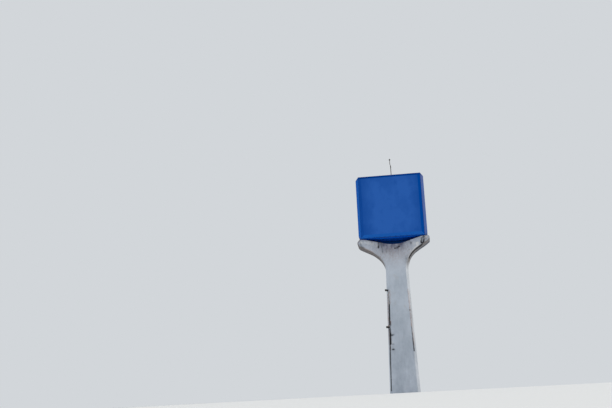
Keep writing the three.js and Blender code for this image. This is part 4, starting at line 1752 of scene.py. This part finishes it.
@dataclass
class RoofHatch:
    """The hatch: a curb, and a lid with a folded lip, two strap hinges and a handle."""

    steel: Material
    paint: Material
    crown: float = 6.0
    sheet: float = 5.0
    lid_corner: float = 8.0
    lid_steps: int = 12
    lid_fold: tuple[Pair, ...] = ((0.0, 8.0), (0.0, 3.0), (1.5, 0.6), (5.0, 0.0))
    handle_reach: float = 130.0
    handle_rise: float = 42.0
    handle_sunk: float = 4.0
    handle_radius: float = 6.0
    handle_knee: float = 22.0
    handle_inset: float = 90.0
    handle_steps: tuple[int, ...] = (6, 10, 6)
    handle_turns: int = 6
    handle_sides: int = 10
    hinge_place: float = 190.0
    hinge_width: float = 46.0
    strap_length: float = 150.0
    strap_levels: Pair = (1.0, 5.0)
    strap_corner: float = 3.0
    pin_radius: float = 8.0
    pin_stations: int = 7
    pin_sides: int = 14

    def lid_rings(self, low: Array, high: Array) -> Array:
        """The lid's outer side.

        Formula: oblongs up the lip, round its fold and in to the middle, which rises by the crown in a
        straight line, so that water runs off. Each pair of the fold is a distance in from the lip's face and
        one down from the top's edge. The last ring stays 1 mm short of the middle.

        Args:
            low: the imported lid's lowest corner.
            high: its highest corner.

        Returns:
            (rows, columns, 3) points.
        """
        half = (high[0] - low[0]) / 2
        edge = high[2] - self.crown
        aside, below = np.array(self.lid_fold).T
        share = np.linspace(0, 1, self.lid_steps + 2)[1:-1]
        inset = np.concatenate([[0], aside, aside[-1] + share * (half - aside[-1] - 1)])
        level = np.concatenate([[low[2]], edge - below, edge + self.crown * share])
        middle = (low + high) / 2
        flat = middle[:2] + SQUARE[None] * (half - inset)[:, None, None]
        corners = np.concatenate([flat, np.broadcast_to(level[:, None, None], (len(level), 4, 1))], axis=2)
        return rounded(corners, self.lid_corner, [self.lid_steps] * 4)

    def handle_path(self, middle: Array, level: float) -> Array:
        """The handle's middle line: up from the lid, across and down again, with round knees.

        Args:
            middle: the handle's middle, as x and y.
            level: the lid's height.

        Returns:
            (n, 3) points.
        """
        half, rise, foot = self.handle_reach / 2, self.handle_rise, -self.handle_sunk
        knees = np.array([(-half, 0, foot), (-half, 0, rise), (half, 0, rise), (half, 0, foot)], float)
        line = open_line(knees, self.handle_knee, list(self.handle_steps), self.handle_turns)
        return line + [middle[0], middle[1], level]

    def build(self) -> None:
        """Makes the lid and its fittings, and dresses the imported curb."""
        low, high = box_mm("roof_hatch_lid")
        middle = (low + high) / 2
        lid = skin("hatch_lid_sheet", self.lid_rings(low, high), Ends.DOMED, self.paint)
        give_wall(lid, self.sheet)
        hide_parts("roof_hatch_lid")
        dress("roof_hatch_curb", self.paint)
        edge = high[2] - self.crown
        grip = np.array([middle[0], low[1] + self.handle_inset])
        bar = bent_bar(self.handle_path(grip, edge), Y, self.handle_radius, self.handle_sides)
        skin("hatch_handle", bar, Ends.CAPPED, self.steel)
        back = high[1]
        half = self.hinge_width / 2
        for side in Side:
            name = side.name.lower()
            x = middle[0] + side.value * self.hinge_place
            under, over = (edge + level for level in self.strap_levels)
            low_corner = np.array([x - half, back - self.strap_length, under])
            high_corner = np.array([x + half, back + 1, over])
            strap = plate(low_corner, high_corner, self.strap_corner)
            skin(f"hatch_{name}_strap", strap, Ends.CAPPED, self.steel)
            start = np.array([x - half, back + self.pin_radius, edge])
            path = start + np.linspace(0, 1, self.pin_stations)[:, None] * (self.hinge_width * X)
            pin = bent_bar(path, Z, self.pin_radius, self.pin_sides)
            skin(f"hatch_{name}_hinge_pin", pin, Ends.CAPPED, self.steel)


@dataclass
class LightningRod:
    """The rod on the roof: a bolted flange, a lower and an upper length with a jog, and a round tip.

    The flange has a weld between its sheet and its socket, given as its width and the height of its toe. The
    sleeve at the top of the lower length takes the upper one, whose jog ends at its own share of the height.
    The spike over the tip's ball is given as its radius at its foot and at its end.
    """

    steel: Material
    sides: int = 24
    bolt_sides: int = 6
    bolt_radius: float = 8.0
    bolt_circle: float = 0.36
    flange_sheet: float = 10.0
    weld: Pair = (10.0, 0.5)
    socket_share: float = 0.3
    socket_rim: float = 3.0
    base_softness: float = 2.5
    sleeve_softness: float = 1.5
    sleeve: float = 70.0
    sleeve_wall: float = 4.0
    jog_end: float = 0.36
    jog_stations: int = 25
    ball_stations: int = 16
    ball_share: float = 0.62
    neck_share: float = 0.85
    neck_width: float = 0.22
    ball_least: float = 2.0
    spike: Pair = (5.0, 1.5)

    def build(self) -> None:
        """Makes the rod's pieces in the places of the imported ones."""
        low, high = box_mm("rod_base")
        middle = (low + high) / 2
        flange = (high[0] - low[0]) / 2
        tall = high[2] - low[2]
        socket = flange * self.socket_share
        sheet = self.flange_sheet
        profile = [
            (flange, 0),
            (flange, sheet),
            (socket + self.weld[0], sheet + self.weld[1]),
            (socket, 2 * sheet),
            (socket, tall - self.socket_rim),
            (socket - self.socket_rim, tall),
        ]
        base = turned_rings(softened(profile, self.base_softness), self.sides * 2)
        self.stand("rod_base", "rod_flange", base + [middle[0], middle[1], low[2]])
        angle = np.arange(4) * math.pi / 2 + math.pi / 4
        reach = flange * 2 * self.bolt_circle
        feet = np.stack([reach * np.cos(angle), reach * np.sin(angle), 0 * angle + low[2] + sheet], axis=1)
        feet += [middle[0], middle[1], 0]
        head = screw_pattern(self.bolt_radius, self.bolt_radius, self.bolt_sides)
        bolts = copies("rod_flange_bolts", head, feet, np.tile(Z, (4, 1)), self.steel)
        self.build_lengths()

    def stand(self, node: str, name: str, rings: Array) -> None:
        """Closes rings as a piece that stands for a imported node.

        Args:
            node: the node's name.
            name: the piece's name.
            rings: (rows, columns, 3) points.
        """
        piece = skin(name, rings, Ends.CAPPED, self.steel)
        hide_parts(node)

    def build_lengths(self) -> None:
        """Makes the two lengths of rod with the sleeve that joins them, and the tip."""
        low, high = box_mm("rod_lower")
        x = (low[0] + high[0]) / 2
        radius = (high[0] - low[0]) / 2
        tall = high[2] - low[2]
        wide = radius + self.sleeve_wall
        start = tall - self.sleeve
        slope = self.sleeve_wall
        sleeve = [(radius, start), (wide, start + slope), (wide, tall - slope), (radius - 1, tall)]
        lower = turned_rings(softened([(radius, 0), *sleeve], self.sleeve_softness), self.sides)
        self.stand("rod_lower", "rod_lower_length", lower + [x, 0, low[2]])
        low, high = box_mm("rod_upper")
        tip_low, tip_high = box_mm("rod_tip")
        end = (tip_low[0] + tip_high[0]) / 2
        thin = (high[1] - low[1]) / 2
        t = np.linspace(0, 1, self.jog_stations)
        jog = np.clip(t / self.jog_end, 0, 1)
        across = x + (end - x) * (3 * jog**2 - 2 * jog**3)
        path = np.stack([across, 0 * t, low[2] + t * (high[2] - low[2])], axis=1)
        self.stand("rod_upper", "rod_upper_length", bent_bar(path, Y, thin, self.sides))
        wide = (tip_high[0] - tip_low[0]) / 2
        rise = tip_high[2] - tip_low[2]
        t = np.linspace(0, 1, self.ball_stations)
        ball = wide * np.sqrt(np.clip(1 - (2 * t - 1) ** 2, 0, 1))
        stem = np.where(t > self.neck_share, np.maximum(ball, self.neck_width * wide), ball)
        bulb = np.stack([np.maximum(stem, self.ball_least), self.ball_share * rise * t], axis=1)
        foot, end_radius = self.spike
        profile = np.concatenate([bulb, [(foot, self.neck_share * rise), (end_radius, rise)]])
        self.stand("rod_tip", "rod_finial", turned_rings(profile, self.sides) + [end, 0, tip_low[2]])


@dataclass
class CornerLine:
    """The earth strip on the pylon's left front chamfer, its clips, and the two stand-off insulators."""

    strip: Material
    worn_strip: Material
    iron: Material
    porcelain: Material
    steel: Material
    upper_z: float = 3558.0
    lower_z: float = 2260.0
    plate_place: float = 0.45
    plate_size: float = 66.0
    plate_sheet: float = 8.0
    gap: float = 0.3
    arm_length: float = 40.0
    arm_radius: float = 13.0
    arm_stations: int = 9
    arm_sides: int = 16
    insulator_radius: float = 36.0
    insulator_height: float = 76.0
    insulator_stations: int = 33
    insulator_sides: int = 28
    strip_foot_place: float = 0.6
    strip_top_place: float = 0.84
    strip_width: float = 34.0
    strip_sheet: float = 10.0
    strip_cell: float = 20.0
    strip_arris: float = 2.5
    strip_thinned: float = 1.5
    strip_bow: float = 1.4
    bow_wave: tuple[float, int] = (400.0, 21)
    strip_left: float = 0.9
    strip_worn: float = 0.09
    worn_wave: tuple[float, int] = (160.0, 23)
    clips: int = 4
    clip_width: float = 40.0
    clip_sheet: float = 6.0
    clip_bend: float = 1.5
    clip_arris: float = 2.0
    clip_screw: Pair = (5.0, 4.0)
    plate_rim: float = 2.0
    plate_arris: float = 3.0
    sheds: int = 2
    shed_depth: float = 0.16
    end_slope: float = 3.2
    end_share: float = 0.25

    def strip_place(self, z: Array) -> Array:
        """The strip's place on the chamfer at heights z, evenly from its foot place to its top place."""
        return self.strip_foot_place + (self.strip_top_place - self.strip_foot_place) * z / self.upper_z

    def bar(
        self, z: Array, place: float | Array, width: float | Array, near: Array, far: Array, arris: float
    ) -> Array:
        """Rings of a flat bar on the chamfer.

        Formula: at each height an oblong from near to far out of the chamfer and half the width to each side.

        Args:
            z: (n,) heights.
            place: where its middle lies, from 0 at the side face to 1 at the front face; a number or (n,).
            width: its width, a number or (n,).
            near: (n,) distance of its back from the chamfer.
            far: (n,) distance of its front.
            arris: how far from an edge its rounding starts.

        Returns:
            (n, m, 3) points.
        """
        middle = SHAFT.corner_place(z, place, 0.0, 0.0)
        half = (width / 2 + 0 * z)[:, None]
        corners = [
            middle + side * half * CORNER_ALONG + out[:, None] * CORNER_OUT
            for side, out in ((-1, near), (1, near), (1, far), (-1, far))
        ]
        return rounded(np.stack(corners, axis=1), arris, [4, 2, 4, 2], 2)

    def build(self) -> None:
        """Makes the strip, the clips and both stand-offs."""
        self.build_strip("conductor_lower_run", self.strip)
        self.build_strip("conductor_upper_run", self.worn_strip)
        for i in range(1, self.clips + 1):
            self.build_clip(f"conductor_clip_{i}")
        for name, z in (("upper", self.upper_z), ("lower", self.lower_z)):
            self.build_standoff(name, z)

    def build_strip(self, name: str, material: Material) -> None:
        """Makes one run of the strip, which bows a little off the concrete between its clips.

        Formula: its face moves out by the bow's waves, and the share of its width that is left varies by the
        worn waves. Each wave is given as its length and the draw's seed.

        Args:
            name: the run's node.
            material: its material.
        """
        low, high = box_mm(name)
        z = np.linspace(low[2], high[2], round((high[2] - low[2]) / self.strip_cell) + 1)
        along = np.stack([0 * z, 0 * z, z], axis=1)
        bow = self.strip_bow * waves(along, *self.bow_wave)
        eaten = self.strip_width * (self.strip_left + self.strip_worn * waves(along, *self.worn_wave))
        far = self.strip_sheet - self.strip_thinned + bow
        rings = self.bar(z, self.strip_place(z), eaten, self.gap + 0 * z, far, self.strip_arris)
        piece = skin(f"{name}_strip", rings, Ends.CAPPED, material)
        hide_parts(name)

    def build_clip(self, name: str) -> None:
        """Makes one clip over the strip, with the screw through its middle.

        Args:
            name: the clip's node.
        """
        low, high = box_mm(name)
        near = self.strip_sheet + self.gap
        z = np.linspace(low[2], high[2], 5)
        far = near + self.clip_sheet - self.clip_bend * np.array([1, 0, 0, 0, 1])
        rings = self.bar(z, self.strip_place(z), self.clip_width, near + 0 * z, far, self.clip_arris)
        piece = skin(f"{name}_saddle", rings, Ends.CAPPED, self.steel)
        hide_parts(name)
        middle = np.array([(low[2] + high[2]) / 2])
        foot = SHAFT.corner_place(middle, self.strip_place(middle), near + self.clip_sheet - 0.5, 0.0)
        head = screw_pattern(*self.clip_screw)
        screw = copies(f"{name}_screw", head, foot, CORNER_OUT[None], self.steel)

    def build_standoff(self, name: str, z: float) -> None:
        """Makes a stand-off: its plate, its arm and its insulator.

        Formula: the insulator's radius is a row of sheds, as cosine waves of its height, that closes at both
        ends as a sine of the height does.

        Args:
            name: upper or lower.
            z: its height.
        """
        half, rim = self.plate_size / 2, self.plate_rim
        levels = np.array([z - half, z - half + rim, z + half - rim, z + half])
        face = self.gap + self.plate_sheet
        far = face - np.array([rim, 0.0, 0.0, rim])
        near = self.gap + 0 * levels
        rings = self.bar(levels, self.plate_place, self.plate_size, near, far, self.plate_arris)
        plate_piece = skin(f"{name}_standoff_foot", rings, Ends.CAPPED, self.iron)
        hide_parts(f"{name}_standoff_plate")
        foot = SHAFT.corner_place(np.array([z]), self.plate_place, 0.0, 0.0)[0]
        reach = np.linspace(face, face + self.arm_length, self.arm_stations)
        arm = bent_bar(foot + reach[:, None] * CORNER_OUT, Z, self.arm_radius, self.arm_sides)
        arm_piece = skin(f"{name}_standoff_stem", arm, Ends.CAPPED, self.iron)
        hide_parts(f"{name}_standoff_arm")
        out = face + self.arm_length + self.insulator_radius + self.gap
        middle = foot + out * CORNER_OUT
        t = np.linspace(0, 1, self.insulator_stations)
        sheds = 1 - self.shed_depth + self.shed_depth * np.cos(2 * self.sheds * np.pi * (t - 0.25))
        ends = np.clip(np.sin(np.pi * np.clip(t, 0.01, 0.99)) * self.end_slope, self.end_share, 1)
        profile = np.stack([self.insulator_radius * sheds * ends, (t - 0.5) * self.insulator_height], axis=1)
        body = turned_rings(profile, self.insulator_sides) + middle
        piece = skin(f"{name}_insulator_body", body, Ends.CAPPED, self.porcelain)
        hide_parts(f"{name}_insulator")


# Studio


@dataclass
class Studio:
    """A pale floor, soft lights and the camera at the photograph's place.

    The camera stands lower than the tower's foot, so in front of the foot the floor falls away gently, and
    it is seen from above.
    """

    lens: float = 53.28
    camera_place: Triple = (765.3, -31654.1, -2632.0)
    yaw: float = -7.083
    pitch: float = 16.871
    roll: float = -2.303
    view_reach: float = 500000.0
    floor_half: float = 70000.0
    crest_y: float = -620.0
    fall: float = math.tan(math.radians(5.7))
    crest_round: float = 120.0
    bend_reach: float = 600.0
    bend_rows: int = 41
    slope_start: float = 800.0
    slope_rows: int = 12
    sky: str = "#D2D6DA"
    floor: str = "#DADCDD"

    def add_camera(self) -> None:
        """Sets the camera from its yaw, pitch and roll.

        Formula: it looks along (sin yaw cos pitch, cos yaw cos pitch, sin pitch), with its right hand level
        before the roll turns both of its other axes.
        """
        yaw, pitch, roll = (math.radians(a) for a in (self.yaw, self.pitch, self.roll))
        ahead = np.array([math.sin(yaw), math.cos(yaw), 0.0]) * math.cos(pitch) + math.sin(pitch) * Z
        level = np.array([math.cos(yaw), -math.sin(yaw), 0.0])
        above = np.cross(level, ahead)
        right = math.cos(roll) * level + math.sin(roll) * above
        up = math.cos(roll) * above - math.sin(roll) * level
        turn = Matrix(np.stack([right, up, -ahead], axis=1).tolist()).to_4x4()
        camera = add_object("camera", bpy.data.cameras.new("camera"))
        camera.data.lens = self.lens
        camera.data.clip_end = self.view_reach * MM
        camera.matrix_world = Matrix.Translation([c * MM for c in self.camera_place]) @ turn
        bpy.context.scene.camera = camera

    def add_floor(self) -> None:
        """Makes the floor.

        Formula: z = -fall (s + sqrt(s^2 + r^2)) / 2, with s the distance in front of the crest and r its
        rounding, so that it is level behind the crest and bends over softly.
        """
        bend = np.linspace(-self.bend_reach, self.bend_reach, self.bend_rows)
        slope = np.geomspace(self.slope_start, self.floor_half, self.slope_rows)
        ahead = np.concatenate([[-self.floor_half], bend, slope])
        drop = self.fall * (ahead + np.hypot(ahead, self.crest_round)) / 2
        y = self.crest_y - ahead
        rows = [np.stack([np.full(len(y), x), y, -drop], axis=1) for x in (-self.floor_half, self.floor_half)]
        points = np.stack(rows, axis=1)
        index = np.arange(len(y) * 2).reshape(-1, 2)
        faces = np.stack([index[:-1, 0], index[1:, 0], index[1:, 1], index[:-1, 1]], axis=1)
        mesh = make_mesh("floor", points.reshape(-1, 3), [faces])
        mesh.shade_smooth()
        s = Surface("pale_floor")
        mesh.materials.append(s.finish(Base_Color=linear(self.floor), Roughness=0.9, Specular_IOR_Level=0.2))
        floor = add_object("floor", mesh)

    def add_light(self, name: str, toward: Triple, power: float, angle: float, colour: str) -> None:
        """Adds a soft distant light.

        Args:
            name: its name.
            toward: the direction from the tower to the light.
            power: its strength.
            angle: how wide it is in the sky, in degrees.
            colour: its colour.
        """
        lamp = bpy.data.lights.new(name, "SUN")
        lamp.energy = power
        lamp.angle = math.radians(angle)
        lamp.color = linear(colour)[:3]
        light = add_object(name, lamp)
        z_axis = unit(np.array(toward))
        x_axis = unit(np.cross(Y, z_axis))
        turn = Matrix(np.stack([x_axis, np.cross(z_axis, x_axis), z_axis], axis=1).tolist())
        light.matrix_world = turn.to_4x4()

    def build(self) -> None:
        """Sets up the camera, the floor, the sky and the lights."""
        self.add_camera()
        self.add_floor()
        world = bpy.data.worlds.new("studio")
        world.use_nodes = True
        world.node_tree.nodes.clear()
        sky = add_node(world.node_tree, "ShaderNodeBackground", {"Color": linear(self.sky), "Strength": 1.0})
        add_node(world.node_tree, "ShaderNodeOutputWorld", {"Surface": sky.outputs[0]})
        bpy.context.scene.world = world
        bpy.context.scene.view_settings.view_transform = "Standard"
        self.add_light("key_right", toward=(0.86, 0.12, 0.5), power=2.2, angle=14, colour="#FFF3E2")
        self.add_light("fill_left", toward=(-0.45, -0.75, 0.55), power=0.5, angle=50, colour="#E8F1FF")


# Assembly


def main() -> None:
    """Builds the tower's classes in order, then the studio."""
    logging.basicConfig(level=logging.INFO, format="%(message)s")
    steel = GalvanisedSteel().material()
    concrete = PaintedConcrete().material()
    weather = Weather(FRONT_MARKS, Marks())
    head = SaddleHead(concrete, weather, box_mm("left_seat_pad")[1][2])
    weather.back = Marks(soot=head.drips(seed=41, count=12), rust=head.drips(seed=43, count=5))
    Pylon(concrete, weather).build()
    head.build()
    frame_blue = FRAME_BLUE.material()
    Tank(
        front=FRONT_BLUE.material(),
        side=SIDE_BLUE.material(),
        frame=frame_blue,
        roof=ROOF_BLUE.material(),
        under=UNDER_NAVY.material(),
        rubber=Rubber().material(),
    ).build()
    RoofHatch(steel, frame_blue).build()
    LightningRod(ROD_STEEL.material()).build()
    CornerLine(
        strip=STRIP_BLACK.material(),
        worn_strip=STRIP_WORN.material(),
        iron=IRON_BLACK.material(),
        porcelain=Porcelain().material(),
        steel=steel,
    ).build()
    Studio().build()


if __name__ == "__main__":
    main()
